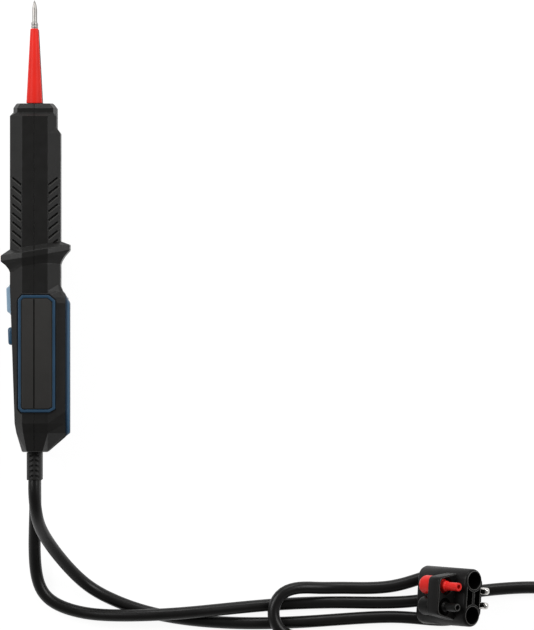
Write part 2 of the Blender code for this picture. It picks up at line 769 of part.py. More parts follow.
def groove_shapes(handle):
    """Slanting cuts in the four facets of the grip."""
    half = handle.grip_depth / 2
    shapes = []
    for front, facet in ((-GRIP_FRONT, -FACET_FRONT), (GRIP_BACK, FACET_BACK)):
        for side in (-1, 1):
            outer = Vector((front, 0, side * (half - FACET_DEPTH)))
            inner = Vector((facet, 0, side * half))
            across = (inner - outer).normalized()
            out = Vector((across.z, 0, -across.x)) * (1 if across.z * front > 0 else -1)
            middle = (outer + inner) / 2
            reach = (inner - outer).length * GROOVE_REACH
            run = (across * math.cos(GROOVE_SLOPE) - Vector((0, 1, 0)) * math.sin(GROOVE_SLOPE)).normalized()
            rise = out.cross(run).normalized()
            turn = Matrix((run, rise, out)).transposed().to_4x4()
            width = GROOVE_WIDTH / 2
            for i in range(GROOVES):
                bar = box((-reach, reach), (-width, width), (-GROOVE_DEPTH, GROOVE_DEPTH))
                place = Matrix.Translation(middle + Vector((0, GROOVE_TOP - i * GROOVE_PITCH, 0)))
                shapes.append((bar, place @ turn))
    return joined(shapes)


def button_holes(handle):
    """Openings in the front wall for the buttons."""
    holes = [(BUTTON_HEIGHT, BUTTON_LENGTH, handle.button_width)]
    if handle.name == "display":
        holes.append((FUNCTION_HEIGHT, FUNCTION_LENGTH, FUNCTION_WIDTH))
    shapes = []
    for height, length, width in holes:
        outline = rounded(length / 2 + GAP, width / 2 + GAP, BUTTON_CORNER + GAP)
        rings = [[(x, y, z) for y, z in outline] for x in (-WALL, 2 * WALL)]
        shapes.append((loft(rings), on_front(height)))
    return joined(shapes)


def window_cuts():
    """Stepped opening for the display window and round holes for the scale of lamps."""
    outer = rounded(WINDOW_LENGTH / 2 + GAP, WINDOW_WIDTH / 2 + GAP, WINDOW_CORNER + GAP)
    inner = rounded(WINDOW_LENGTH / 2 - WINDOW_LEDGE, WINDOW_WIDTH / 2 - WINDOW_LEDGE, WINDOW_CORNER)
    steps = ((outer, -WALL), (outer, WINDOW_THICK), (inner, WINDOW_THICK), (inner, 2 * WALL))
    stepped = loft([[(x, y, z) for y, z in outline] for outline, x in steps])
    shapes = [(stepped, on_front(WINDOW_HEIGHT, WINDOW_SIDE))]
    for height in lamp_heights():
        hole = rod(LAMP_RADIUS + GAP, -WALL, 2 * WALL, LAMP_SIDES)
        place = on_front(WINDOW_HEIGHT, LAMP_SIDE) @ Matrix.Translation((0, height, 0))
        shapes.append((hole, place @ along_x()))
    return joined(shapes)


def lamp_heights():
    """Places of the lamps along the scale, from its middle."""
    return [(i - (LAMPS - 1) / 2) * LAMP_PITCH for i in range(LAMPS)]


def end_bores(handle):
    """Round ways out of the housing for the sleeve's stem, the torch lens and the strain relief."""
    roof = HANDLE_LENGTH - TOP_WALL
    shapes = [
        (rod(SLEEVE_STEM_RADIUS + GAP, roof - TOP_WALL, HANDLE_LENGTH + TOP_WALL), Matrix()),
        (rod(RELIEF_NECK + GAP, -BASE_WALL, BASE_WALL + WALL), Matrix()),
    ]
    if handle.name == "display":
        lens = rod(LENS_RADIUS + GAP, roof - TOP_WALL, HANDLE_LENGTH + TOP_WALL, FINE)
        shapes.append((lens, Matrix.Translation((-LENS_SIDE, 0, 0))))
    return joined(shapes)


def tray_block():
    """Moulded battery box inside the display handle's back shell."""
    bottom, half_y, half_z = tray_size()
    return box(
        (bottom - TRAY_WALL, COVER_PLANE - GAP / 2 - WALL / 2),
        (TRAY_HEIGHT - half_y - TRAY_WALL, TRAY_HEIGHT + half_y + TRAY_WALL),
        (-half_z - TRAY_WALL, half_z + TRAY_WALL),
    )


def tray_pocket():
    bottom, half_y, half_z = tray_size()
    return box(
        (bottom, COVER_PLANE + WALL),
        (TRAY_HEIGHT - half_y, TRAY_HEIGHT + half_y),
        (-half_z, half_z),
    )


def tray_size():
    """Floor, half length and half width of the battery pocket, from the cells and their contacts."""
    bottom = COVER_PLANE - 2 * GAP - 2 * CELL_RADIUS - 2 * GAP
    half_y = CELL_LENGTH / 2 + SPRING_LENGTH + CONTACT_THICK + 2 * GAP
    half_z = CELL_SPACING / 2 + CELL_RADIUS + GAP
    return bottom, half_y, half_z


def add_shells(handle, frame):
    """Front and back half-shells, cut from one outer form along the plane through the axis."""
    name = handle.name
    guard = cutter(f"{name}_guard_form", guard_shape(handle), frame)
    plateaus = cutter(f"{name}_pad_plateaus", pad_plateaus(handle), frame)
    cavity = cutter(f"{name}_cavity", cavity_shape(handle), frame)
    shared = [
        cutter(f"{name}_pad_recesses", pad_recesses(handle), frame),
        cutter(f"{name}_grooves", groove_shapes(handle), frame),
        cutter(f"{name}_end_bores", end_bores(handle), frame),
    ]
    for side, make in (("front", front_tools), ("back", back_tools)):
        shell = piece(f"{name}_{side}_shell", housing_shape(handle), frame, black_plastic())
        half, added, taken = make(handle, frame)
        boolean(shell, "UNION", guard)
        boolean(shell, "UNION", plateaus)
        boolean(shell, "DIFFERENCE", cavity)
        boolean(shell, "INTERSECT", half)
        for tool in added:
            boolean(shell, "UNION", tool)
        boolean(shell, "DIFFERENCE", *taken, *shared)


def front_tools(handle, frame):
    """Half-space, added forms and cuts of a front shell."""
    name = handle.name
    far = 2 * HANDLE_LENGTH
    places = screw_places(handle)
    posts = board_posts(handle)
    half = cutter(f"{name}_front_half", box((-far, -GAP / 2), (-far, far), (-far, far)), frame)
    boss_spans = [(-front_wall(handle, h) + WALL / 2, -GAP) for h, _ in places]
    post_spans = [(-front_wall(handle, h) + WALL / 2, -BOARD_FRONT - GAP) for h, _ in posts]
    hole_spans = [(-SCREW_TIP - GAP, GAP) for _ in places]
    added = [
        cutter(f"{name}_front_bosses", along_x_rods(places, BOSS_RADIUS, boss_spans), frame),
        cutter(f"{name}_board_posts", along_x_rods(posts, POST_RADIUS, post_spans), frame),
    ]
    taken = [
        cutter(f"{name}_button_holes", button_holes(handle), frame),
        cutter(f"{name}_front_screw_holes", along_x_rods(places, SCREW_SHANK + GAP, hole_spans), frame),
    ]
    if name == "display":
        taken.append(cutter("display_window_cuts", window_cuts(), frame))
    return half, added, taken


def back_tools(handle, frame):
    """Half-space, added forms and cuts of a back shell."""
    name = handle.name
    far = 2 * HANDLE_LENGTH
    places = screw_places(handle)
    half = cutter(f"{name}_back_half", box((GAP / 2, far), (-far, far), (-far, far)), frame)
    boss_spans = [(GAP, back_wall(handle, h) - WALL / 2) for h, _ in places]
    added = [cutter(f"{name}_back_bosses", along_x_rods(places, BOSS_RADIUS, boss_spans), frame)]
    steps = [back_wall(handle, h) - SCREW_SINK for h, _ in places]
    holes = stepped_holes(places, steps, SCREW_SHANK + GAP, SCREW_HEAD + GAP)
    taken = [cutter(f"{name}_back_screw_holes", holes, frame)]
    if name == "display":
        more_added, more_taken = battery_box_tools(frame)
        added += more_added
        taken += more_taken
    return half, added, taken


def stepped_holes(places, steps, shank, head):
    """Clearance holes along X that widen into counterbores."""
    far = HANDLE_LENGTH
    shapes = []
    for (height, depth), step in zip(places, steps):
        profile = [(0, -GAP), (shank, -GAP), (shank, step), (head, step), (head, far), (0, far)]
        shapes.append((turned(profile, FINE), Matrix.Translation((0, height, depth)) @ along_x()))
    return joined(shapes)


def battery_box_tools(frame):
    """Battery box moulded in the back shell, the flat seat of its cover and the cover screw's boss."""
    plane = COVER_PLANE - GAP / 2
    far = HANDLE_LENGTH
    place = [(COVER_SCREW_HEIGHT, 0.0)]
    low = COVER_PLANE - COVER_SCREW_LENGTH
    boss = along_x_rods(place, COVER_BOSS_RADIUS, [(low, plane - WALL / 2)])
    seat = box((plane, far), (-far, BELLY_HEIGHT + GAP), (-far, far))
    hole = along_x_rods(place, COVER_SHANK + GAP, [(low + WALL / 2, far)])
    added = [cutter("battery_box", tray_block(), frame), cutter("cover_boss", boss, frame)]
    taken = [
        cutter("cover_seat", seat, frame),
        cutter("battery_pocket", tray_pocket(), frame),
        cutter("cover_screw_hole", hole, frame),
    ]
    return added, taken


def add_battery_cover(handle, frame):
    """Cover over the battery box: the part of the housing form beyond the cover plane."""
    cover = piece("battery_cover", housing_shape(handle), frame, blue_plastic())
    far = HANDLE_LENGTH
    keep = box((COVER_PLANE + GAP / 2, far), (-far, BELLY_HEIGHT), (-far, far))
    boolean(cover, "INTERSECT", cutter("cover_half", keep, frame))
    place = [(COVER_SCREW_HEIGHT, 0.0)]
    hole = stepped_holes(place, [handle.belly - COVER_SINK], COVER_SHANK + GAP, COVER_HEAD + GAP)
    boolean(cover, "DIFFERENCE", cutter("cover_hole", hole, frame))


def screw_shape(head_x, tip_x, shank, head, tall):
    """Pan-head screw along X, its head at the +X end."""
    profile = [
        (0, tip_x), (shank, tip_x + shank), (shank, head_x),
        (head, head_x), (head, head_x + tall / 2), (head * SCREW_CROWN, head_x + tall), (0, head_x + tall),
    ]
    return turned(profile, FINE)


def add_screws(handle, frame):
    """Housing screws from the back, each seated in its counterbore."""
    for i, (height, depth) in enumerate(screw_places(handle)):
        seat = back_wall(handle, height) - SCREW_SINK + GAP
        shape = screw_shape(seat, -SCREW_TIP, SCREW_SHANK, SCREW_HEAD, SCREW_HEAD_TALL)
        matrix = Matrix.Translation((0, height, depth)) @ along_x()
        piece(f"{handle.name}_screw_{i + 1}", shape, frame, screw_zinc(), matrix)


def add_cover_screw(handle, frame):
    seat = handle.belly - COVER_SINK + GAP
    tip = COVER_PLANE - COVER_SCREW_LENGTH + WALL
    shape = screw_shape(seat, tip, COVER_SHANK, COVER_HEAD, COVER_HEAD_TALL)
    matrix = Matrix.Translation((0, COVER_SCREW_HEIGHT, 0)) @ along_x()
    piece("cover_screw", shape, frame, screw_zinc(), matrix)


def button_shape(height, length, width, proud, travel):
    """Moulded button: a chamfered key, a flange behind the wall and a plunger over its switch."""
    plunger_end = front_at(height) - BOARD_FRONT - SWITCH_TALL - GAP - travel - GAP
    flange = WALL + GAP
    half_y = length / 2
    half_z = width / 2
    levels = []
    for rise, inset in BUTTON_CROWN:
        levels.append((-proud * rise, half_y - inset, half_z - inset, BUTTON_CORNER - inset / 2))
    levels += [
        (flange, half_y, half_z, BUTTON_CORNER),
        (flange, half_y + BUTTON_FLANGE, half_z + BUTTON_FLANGE, BUTTON_CORNER),
        (flange + BUTTON_FLANGE_THICK, half_y + BUTTON_FLANGE, half_z + BUTTON_FLANGE, BUTTON_CORNER),
        (flange + BUTTON_FLANGE_THICK, PLUNGER, PLUNGER, PLUNGER / 2),
        (plunger_end, PLUNGER, PLUNGER, PLUNGER / 2),
    ]
    return loft([[(x, y, z) for y, z in rounded(a, b, corner)] for x, a, b, corner in levels])


def add_button(name, handle, frame, height, length, width, proud, travel):
    shape = button_shape(height, length, width, proud, travel)
    piece(name, shape, frame, blue_plastic(), on_front(height), smooth_angle=math.radians(40))
    switch = box(
        (-BOARD_FRONT - SWITCH_TALL, -BOARD_FRONT - GAP),
        (height - SWITCH_SIZE / 2, height + SWITCH_SIZE / 2),
        (-SWITCH_SIZE / 2, SWITCH_SIZE / 2),
    )
    piece(name.replace("button", "switch"), switch, frame, black_plastic())


def add_board(name, frame, length, width):
    thickness = (-BOARD_FRONT, -BOARD_FRONT + BOARD_THICK)
    board = box(thickness, (BOARD_TOP - length, BOARD_TOP), (-width / 2, width / 2))
    piece(name, board, frame, board_green())


def add_display(frame):
    """Window, LCD module and the moulded bar of seven lamp lenses."""
    levels = ((0.0, GAP), (GAP, 0.0), (WINDOW_THICK - GAP, 0.0))
    rings = []
    for x, inset in levels:
        outline = rounded(WINDOW_LENGTH / 2 - inset, WINDOW_WIDTH / 2 - inset, WINDOW_CORNER)
        rings.append([(x, y, z) for y, z in outline])
    piece("display_window", loft(rings), frame, clear_plastic(), on_front(WINDOW_HEIGHT, WINDOW_SIDE))
    lcd = box(
        (-BOARD_FRONT - LCD_THICK, -BOARD_FRONT - GAP),
        (WINDOW_HEIGHT - LCD_LENGTH / 2, WINDOW_HEIGHT + LCD_LENGTH / 2),
        (WINDOW_SIDE - LCD_WIDTH / 2, WINDOW_SIDE + LCD_WIDTH / 2),
    )
    piece("lcd_module", lcd, frame, principled("lcd_grey", (0.3, 0.34, 0.28), 0.3))
    add_lamp_bar(frame)


def add_lamp_bar(frame):
    """Light guide behind the wall, its lenses flush with it in round holes."""
    half_y = (LAMPS - 1) / 2 * LAMP_PITCH + LAMP_BAR_WIDTH / 2
    bar = rounded(half_y, LAMP_BAR_WIDTH / 2, LAMP_BAR_CORNER)
    levels = (WALL + GAP, WALL + GAP + LAMP_BAR_THICK)
    shape = loft([[(x, y, z) for y, z in bar] for x in levels])
    guide = piece("lamp_lens_bar", shape, frame, clear_plastic(), on_front(WINDOW_HEIGHT, LAMP_SIDE))
    profile = [
        (0, 0), (LAMP_RADIUS * LAMP_CROWN, 0), (LAMP_RADIUS, LAMP_DOME),
        (LAMP_RADIUS, WALL + 2 * GAP), (0, WALL + 2 * GAP),
    ]
    lenses = []
    for height in lamp_heights():
        lenses.append((turned(profile, LAMP_SIDES), Matrix.Translation((0, height, 0)) @ along_x()))
    lens_tool = cutter("lamp_lenses", joined(lenses), frame, on_front(WINDOW_HEIGHT, LAMP_SIDE))
    boolean(guide, "UNION", lens_tool)


def add_modules(frame):
    """Buzzer and vibration motor on the back of the display handle's board."""
    base = -BOARD_FRONT + BOARD_THICK + GAP
    buzzer = rod(BUZZER_RADIUS, base, base + BUZZER_THICK)
    matrix = Matrix.Translation((0, MODULE_HEIGHT, -MODULE_SIDE)) @ along_x()
    piece("buzzer", buzzer, frame, black_plastic(), matrix)
    motor = rod(MOTOR_RADIUS, -MOTOR_LENGTH / 2, MOTOR_LENGTH / 2, FINE)
    matrix = Matrix.Translation((base + MOTOR_RADIUS, MODULE_HEIGHT, MODULE_SIDE))
    piece("vibration_motor", motor, frame, bright_steel(), matrix)


def add_batteries(frame):
    """Two cells side by side, the second turned round, and a spring contact at each end."""
    floor, half_y, half_z = tray_size()
    centre_x = floor + GAP + CELL_RADIUS
    half = CELL_LENGTH / 2
    profile = [
        (0, -half), (CELL_RADIUS - CELL_CRIMP, -half), (CELL_RADIUS, -half + CELL_EDGE),
        (CELL_RADIUS, half - CELL_NIPPLE_TALL - CELL_EDGE),
        (CELL_RADIUS - CELL_CRIMP, half - CELL_NIPPLE_TALL),
        (CELL_NIPPLE, half - CELL_NIPPLE_TALL), (CELL_NIPPLE, half), (0, half),
    ]
    for i, side in enumerate((-1, 1)):
        matrix = Matrix.Translation((centre_x, TRAY_HEIGHT, side * CELL_SPACING / 2))
        if side > 0:
            matrix = matrix @ Matrix.Rotation(math.pi, 4, "X")
        piece(f"battery_{i + 1}", turned(profile, ROUND), frame, cell_jacket(), matrix)
    for name, end in (("lower_contact", -1), ("upper_contact", 1)):
        add_contact(name, end, centre_x, half_y, half_z, frame)


def add_contact(name, end, centre_x, half_y, half_z, frame):
    """Contact plate across both cells, with a spring for each."""
    outer = TRAY_HEIGHT + end * (half_y - GAP)
    inner = outer - end * CONTACT_THICK
    plate = box(
        (centre_x - CELL_RADIUS, centre_x + CELL_RADIUS),
        (min(outer, inner), max(outer, inner)),
        (-half_z + GAP, half_z - GAP),
    )
    contact = piece(name, plate, frame, bright_steel())
    middle = (inner + outer) / 2
    tip = inner - end * SPRING_LENGTH
    springs = []
    for side in (-1, 1):
        low, high = sorted((middle, tip))
        matrix = Matrix.Translation((centre_x, 0, side * CELL_SPACING / 2))
        springs.append((rod(SPRING_RADIUS, low, high, FINE), matrix))
    boolean(contact, "UNION", cutter(f"{name}_springs", joined(springs), frame))


def add_pads(handle, frame):
    """Blue rim and grey pad on the outer side, and a plain docking pad on the inner side."""
    body = handle.depth / 2 - PAD_PROUD
    seat = body - PAD_SEAT + GAP
    face = handle.depth / 2
    out = handle.outward
    outer = pad_outline()
    inner = offset_outline(outer, RIM_WIDTH)
    rim = ring_prism(outer, inner, out * seat, out * (face - RIM_DROP))
    piece(f"{handle.name}_side_rim", rim, frame, blue_plastic())
    add_pad(f"{handle.name}_side_pad", offset_outline(outer, RIM_WIDTH + GAP), out, seat, face, frame)
    add_pad(f"{handle.name}_dock_pad", outer, -out, seat, face, frame)


def add_pad(name, outline, out, seat, face, frame):
    """Pad with chamfered edges and a fine slot down its middle."""
    low = [(x, y, out * seat) for x, y in outline]
    side = [(x, y, out * (face - EDGE)) for x, y in outline]
    top = [(x, y, out * face) for x, y in offset_outline(outline, EDGE)]
    pad = piece(name, loft([low, side, top]), frame, pad_grey())
    slot = box(
        (-PAD_SLOT_WIDTH / 2, PAD_SLOT_WIDTH / 2),
        (PAD_LOW + PAD_SLOT_END, PAD_HIGH - PAD_SLOT_END),
        sorted((out * (face - PAD_SLOT_DEPTH), out * (face + PAD_PROUD))),
    )
    boolean(pad, "DIFFERENCE", cutter(f"{name}_slot", slot, frame))


def add_probe(handle, frame, sleeve_material):
    """Steel rod held at its foot, inside the sleeve that stands on the cap."""
    roof = HANDLE_LENGTH - TOP_WALL
    flange_top = roof - GAP
    flange_low = flange_top - SLEEVE_FLANGE
    bore = TIP_RADIUS + GAP
    sleeve_top = COLLAR_HEIGHT - GAP
    base = HANDLE_LENGTH + GAP
    sleeve = [
        (bore, flange_low), (SLEEVE_FLANGE_RADIUS, flange_low), (SLEEVE_FLANGE_RADIUS, flange_top),
        (SLEEVE_STEM_RADIUS, flange_top), (SLEEVE_STEM_RADIUS, base), (SLEEVE_BASE_RADIUS, base),
        (SLEEVE_TOP_RADIUS, sleeve_top - SLEEVE_TOP_BAND), (SLEEVE_TOP_RADIUS - SLEEVE_TOP_ROUND, sleeve_top),
        (bore, sleeve_top),
    ]
    piece(f"{handle.name}_sleeve", turned(sleeve, ROUND, bored=True), frame, sleeve_material)
    foot = flange_low - GAP
    shaft = COLLAR_HEIGHT + COLLAR_LENGTH
    profile = [
        (0, foot - ROD_FOOT_LENGTH), (ROD_FOOT_RADIUS, foot - ROD_FOOT_LENGTH), (ROD_FOOT_RADIUS, foot),
        (TIP_RADIUS, foot), (TIP_RADIUS, COLLAR_HEIGHT), (COLLAR_RADIUS, COLLAR_HEIGHT),
        (COLLAR_RADIUS, shaft - COLLAR_EDGE), (TIP_RADIUS, shaft), (TIP_RADIUS, TIP_HEIGHT - POINT_LENGTH),
        (POINT_RADIUS, TIP_HEIGHT - POINT_LENGTH * POINT_BREAK), (0, TIP_HEIGHT),
    ]
    piece(f"{handle.name}_rod", turned(profile, FINE), frame, bright_steel())


def add_torch_lens(frame):
    """Clear plug beside the sleeve, flush with the top face."""
    roof = HANDLE_LENGTH - TOP_WALL - GAP
    profile = [
        (0, roof - LENS_FLANGE_THICK), (LENS_FLANGE, roof - LENS_FLANGE_THICK), (LENS_FLANGE, roof),
        (LENS_RADIUS, roof), (LENS_RADIUS, HANDLE_LENGTH - GAP), (0, HANDLE_LENGTH),
    ]
    matrix = Matrix.Translation((-LENS_SIDE, 0, 0))
    piece("torch_lens", turned(profile, FINE), frame, clear_plastic(), matrix)


def add_relief(handle, frame):
    """Strain relief: a collar held by its flange, with slanting slots on both visible sides."""
    top = BASE_WALL + GAP
    profile = [
        (0, -RELIEF_LENGTH), (RELIEF_RADIUS - RELIEF_BEVEL, -RELIEF_LENGTH),
        (RELIEF_RADIUS, -RELIEF_LENGTH + RELIEF_BEVEL), (RELIEF_RADIUS, -GAP), (RELIEF_NECK, -GAP),
        (RELIEF_NECK, top), (RELIEF_FLANGE, top), (RELIEF_FLANGE, top + RELIEF_FLANGE_THICK),
        (0, top + RELIEF_FLANGE_THICK),
    ]
    relief = piece(f"{handle.name}_strain_relief", turned(profile, ROUND), frame, black_rubber())
    slots = []
    first = -RELIEF_LENGTH / 2 + (RELIEF_SLOTS - 1) / 2 * RELIEF_PITCH
    for side in (-1, 1):
        for column in (-1, 1):
            lean = Matrix.Rotation(-column * RELIEF_SLOT_SLOPE, 4, "Z")
            for i in range(RELIEF_SLOTS):
                slot = box(
                    (-RELIEF_SLOT_LENGTH / 2, RELIEF_SLOT_LENGTH / 2),
                    (-RELIEF_SLOT_WIDTH / 2, RELIEF_SLOT_WIDTH / 2),
                    (-RELIEF_SLOT_DEPTH, RELIEF_RADIUS),
                )
                place = Vector((column * RELIEF_SLOT_SIDE, first - i * RELIEF_PITCH, side * RELIEF_RADIUS))
                face = Matrix.Rotation(math.pi, 4, "Y") if side < 0 else Matrix()
                slots.append((slot, Matrix.Translation(place) @ lean @ face))
    boolean(relief, "DIFFERENCE", cutter(f"{handle.name}_relief_slots", joined(slots), frame))


def add_handle(handle, frame, sleeve_material):
    """Everything that both handles have."""
    add_shells(handle, frame)
    add_screws(handle, frame)
    add_pads(handle, frame)
    add_probe(handle, frame, sleeve_material)
    add_relief(handle, frame)
    add_button(
        f"{handle.name}_button", handle, frame,
        BUTTON_HEIGHT, BUTTON_LENGTH, handle.button_width, BUTTON_PROUD, BUTTON_TRAVEL,
    )


def stadium(length, radius, steps=8):
    """Outline with two round ends, as (y, z) points."""
    points = []
    for side in (1, -1):
        for step in range(steps + 1):
            angle = math.pi * step / steps - math.pi / 2
            y = side * (length / 2 + radius * math.cos(angle))
            points.append((y, side * radius * math.sin(angle)))
    return points


def ear_outline(root_z, tip_z):
    """Trapezoid with rounded tip corners, as (y, z) points."""
    out = 1 if tip_z > root_z else -1
    lean = (EAR_ROOT - EAR_TIP) / 2 / abs(tip_z - root_z)
    points = [(-EAR_ROOT / 2, root_z), (EAR_ROOT / 2, root_z)]
    for side in (1, -1):
        corner_y = side * (EAR_TIP / 2 + lean * EAR_CORNER - EAR_CORNER)
        corner_z = tip_z - out * EAR_CORNER
        angles = EAR_CORNER_ANGLES if side > 0 else EAR_CORNER_ANGLES[::-1]
        for angle in map(math.radians, angles):
            y = corner_y + side * EAR_CORNER * math.cos(angle)
            points.append((y, corner_z + out * EAR_CORNER * math.sin(angle)))
    return points


def block_places(apart, out):
    """Two (y, z) places that share one distance from the block's middle plane."""
    return [(side * apart / 2, out) for side in (1, -1)]


def block_rods(places, radius, low, high, sides=ROUND):
    shapes = []
    for y, z in places:
        shapes.append((rod(radius, low, high, sides), Matrix.Translation((0, y, z)) @ along_x()))
    return joined(shapes)


def add_tip_protector(frame):
    """Double tube with an ear on each side, open at its upper end."""
    half = BLOCK_THICK / 2
    skin = stadium(TUBE_SPACING, half)
    slim = stadium(TUBE_SPACING, half - EDGE)
    levels = ((0, slim), (EDGE, skin), (BLOCK_LENGTH - EDGE, skin), (BLOCK_LENGTH, slim))
    body = loft([[(x, y, z) for y, z in outline] for x, outline in levels])
    block = piece("tip_protector", body, frame, black_plastic())
    for name, out in (("front_ear", 1), ("rear_ear", -1)):
        outline = ear_outline(out * half / 2, out * EAR_REACH)
        rings = [[(x, y, z) for y, z in outline] for x in (EAR_START, EAR_START + EAR_THICK)]
        boolean(block, "UNION", cutter(f"{name}_form", soften(loft(rings), EDGE), frame))
    tubes = block_rods(block_places(TUBE_SPACING, 0), TUBE_BORE / 2, TUBE_FLOOR, 2 * BLOCK_LENGTH)
    boolean(block, "DIFFERENCE", cutter("protector_tubes", tubes, frame))
    boolean(block, "DIFFERENCE", cutter("protector_pockets", pocket_shapes(), frame))
    low, high = EAR_START - GAP, EAR_START + EAR_THICK + GAP
    caps = block_rods(block_places(CAP_APART, CAP_OUT), CAP_COLLAR_RADIUS + GAP, low, high)
    boolean(block, "DIFFERENCE", cutter("cap_holes", caps, frame))
    pins = block_rods(block_places(ADAPTER_APART, -ADAPTER_OUT), ADAPTER_RADIUS + GAP, low, high)
    boolean(block, "DIFFERENCE", cutter("adapter_holes", pins, frame))


def pocket_shapes():
    """Two blind pockets between the tubes, one on each side of the web, with ends that follow the tubes."""
    ring = TUBE_BORE / 2 + TUBE_WALL
    shapes = []
    low = BLOCK_WEB / 2
    high = BLOCK_THICK / 2 - TUBE_WALL
    depths = [low + (high - low) * i / POCKET_STEPS for i in range(POCKET_STEPS + 1)]
    edge = [(TUBE_SPACING / 2 - math.sqrt(ring**2 - z**2), z) for z in depths]
    outline = edge + [(-y, z) for y, z in reversed(edge)]
    for side in (1, -1):
        ends = (BLOCK_LENGTH - POCKET_DEPTH, BLOCK_LENGTH + POCKET_DEPTH)
        shapes.append((loft([[(x, y, side * z) for y, z in outline] for x in ends]), Matrix()))
    return joined(shapes)


def add_tip_caps(frame):
    """Red and black push-on caps, each a stepped tube in the front ear."""
    start = EAR_START - GAP
    ear_end = EAR_START + EAR_THICK
    profile = [
        (CAP_BORE_RADIUS, start - CAP_BUTT_LENGTH), (CAP_BUTT_RADIUS - EDGE, start - CAP_BUTT_LENGTH),
        (CAP_BUTT_RADIUS, start - CAP_BUTT_LENGTH + EDGE), (CAP_BUTT_RADIUS, start),
        (CAP_COLLAR_RADIUS, start), (CAP_COLLAR_RADIUS, ear_end - 2 * EDGE),
        (CAP_COLLAR_RADIUS - 2 * EDGE, ear_end), (CAP_SHOULDER_RADIUS, ear_end),
        (CAP_TUBE_RADIUS, ear_end + CAP_SHOULDER), (CAP_TUBE_RADIUS, CAP_END - EDGE),
        (CAP_TUBE_RADIUS - EDGE, CAP_END), (CAP_BORE_RADIUS, CAP_END),
    ]
    finishes = (("red_tip_cap", red_plastic()), ("black_tip_cap", black_plastic()))
    for (name, material), (y, z) in zip(finishes, block_places(CAP_APART, CAP_OUT)):
        matrix = Matrix.Translation((0, y, z)) @ along_x()
        piece(name, turned(profile, ROUND, bored=True), frame, material, matrix)


def add_adapters(frame):
    """Round 4 mm contact pins that push through the rear ear."""
    start = EAR_START - GAP
    profile = [
        (0, start - ADAPTER_FLANGE_THICK), (ADAPTER_FLANGE, start - ADAPTER_FLANGE_THICK),
        (ADAPTER_FLANGE, start), (ADAPTER_RADIUS, start), (ADAPTER_RADIUS, ADAPTER_END - ADAPTER_NOSE),
        (ADAPTER_NOSE_RADIUS, ADAPTER_END - ADAPTER_NOSE_END), (0, ADAPTER_END),
    ]
    for i, (y, z) in enumerate(block_places(ADAPTER_APART, -ADAPTER_OUT)):
        matrix = Matrix.Translation((0, y, z)) @ along_x()
        piece(f"adapter_{i + 1}", turned(profile, FINE), frame, bright_steel(), matrix)


def protector_frame(tester):
    """Frame of the tip protector, its closed end on the cord and its rear ear on a raised turn of it."""
    lean = math.atan2(EAR_REACH - BLOCK_THICK / 2, EAR_START)
    span = math.hypot(EAR_REACH - BLOCK_THICK / 2, EAR_START)
    lean += math.asin((BLOCK_EAR_REST - BLOCK_END_REST) / span)
    rest = BLOCK_END_REST + BLOCK_THICK / 2 * math.cos(lean)
    place = Matrix.Translation((BLOCK_X, BLOCK_Y, rest))
    turn = Matrix.Rotation(BLOCK_YAW, 4, "Z") @ Matrix.Rotation(-lean, 4, "Y")
    return empty("protector_frame", place @ turn, tester)


def smooth_line(points, spacing):
    """Natural cubic spline through points, read at even steps."""
    points = np.array(points)
    steps = np.sqrt(np.linalg.norm(np.diff(points, axis=0), axis=1))
    knots = np.concatenate([[0], np.cumsum(steps)])
    count = len(knots)
    matrix = np.eye(count)
    right = np.zeros((count, 3))
    for i in range(1, count - 1):
        matrix[i, i - 1 : i + 2] = steps[i - 1], 2 * (steps[i - 1] + steps[i]), steps[i]
        after = (points[i + 1] - points[i]) / steps[i]
        before = (points[i] - points[i - 1]) / steps[i - 1]
        right[i] = 6 * (after - before)
    bend = np.linalg.solve(matrix, right)
    samples = np.linspace(0, knots[-1], SPLINE_SAMPLES)
    left = np.clip(np.searchsorted(knots, samples) - 1, 0, count - 2)
    step = steps[left][:, None]
    to_end = knots[left + 1][:, None] - samples[:, None]
    from_start = samples[:, None] - knots[left][:, None]
    line = (bend[left] * to_end**3 + bend[left + 1] * from_start**3) / (6 * step)
    line += (points[left] / step - bend[left] * step / 6) * to_end
    line += (points[left + 1] / step - bend[left + 1] * step / 6) * from_start
    run = np.concatenate([[0], np.cumsum(np.linalg.norm(np.diff(line, axis=0), axis=1))])
    wanted = np.linspace(0, run[-1], round(run[-1] / spacing) + 1)
    return np.column_stack([np.interp(wanted, run, line[:, i]) for i in range(3)])


def cord_line(display_z, probe_z):
    """The cord's centre line between the strain reliefs, straight at both and never below the surface."""
    start = -RELIEF_LENGTH - GAP
    route = [(0.0, start, display_z)]
    route += [tuple(value * MM for value in point) for point in ROUTE_BELOW_RELIEF]
    route.append((0.0, start, probe_z))
    line = smooth_line(route, CORD_SPACING)
    line[:, 2] = np.maximum(line[:, 2], CORD_DIAMETER / 2)
    first = [(0.0, start, display_z), (0.0, start - CORD_STUB, display_z)]
    last = [(0.0, start - CORD_STUB, probe_z), (0.0, start, probe_z)]
    return np.concatenate([first, line[1:-1], last])


def add_cord(tester, display_z, probe_z):
    """Round cord that joins the two handles."""
    line = cord_line(display_z, probe_z)
    curve = bpy.data.curves.new("cord", "CURVE")
    curve.dimensions = "3D"
    curve.bevel_depth = CORD_DIAMETER / 2
    curve.bevel_resolution = CORD_SIDES
    curve.use_fill_caps = True
    spline = curve.splines.new("POLY")
    spline.points.add(len(line) - 1)
    for point, place in zip(spline.points, line):
        point.co = (*place, 1.0)
    curve.materials.append(black_rubber())
    cord = bpy.data.objects.new("cord", curve)
    bpy.context.collection.objects.link(cord)
    cord.parent = tester


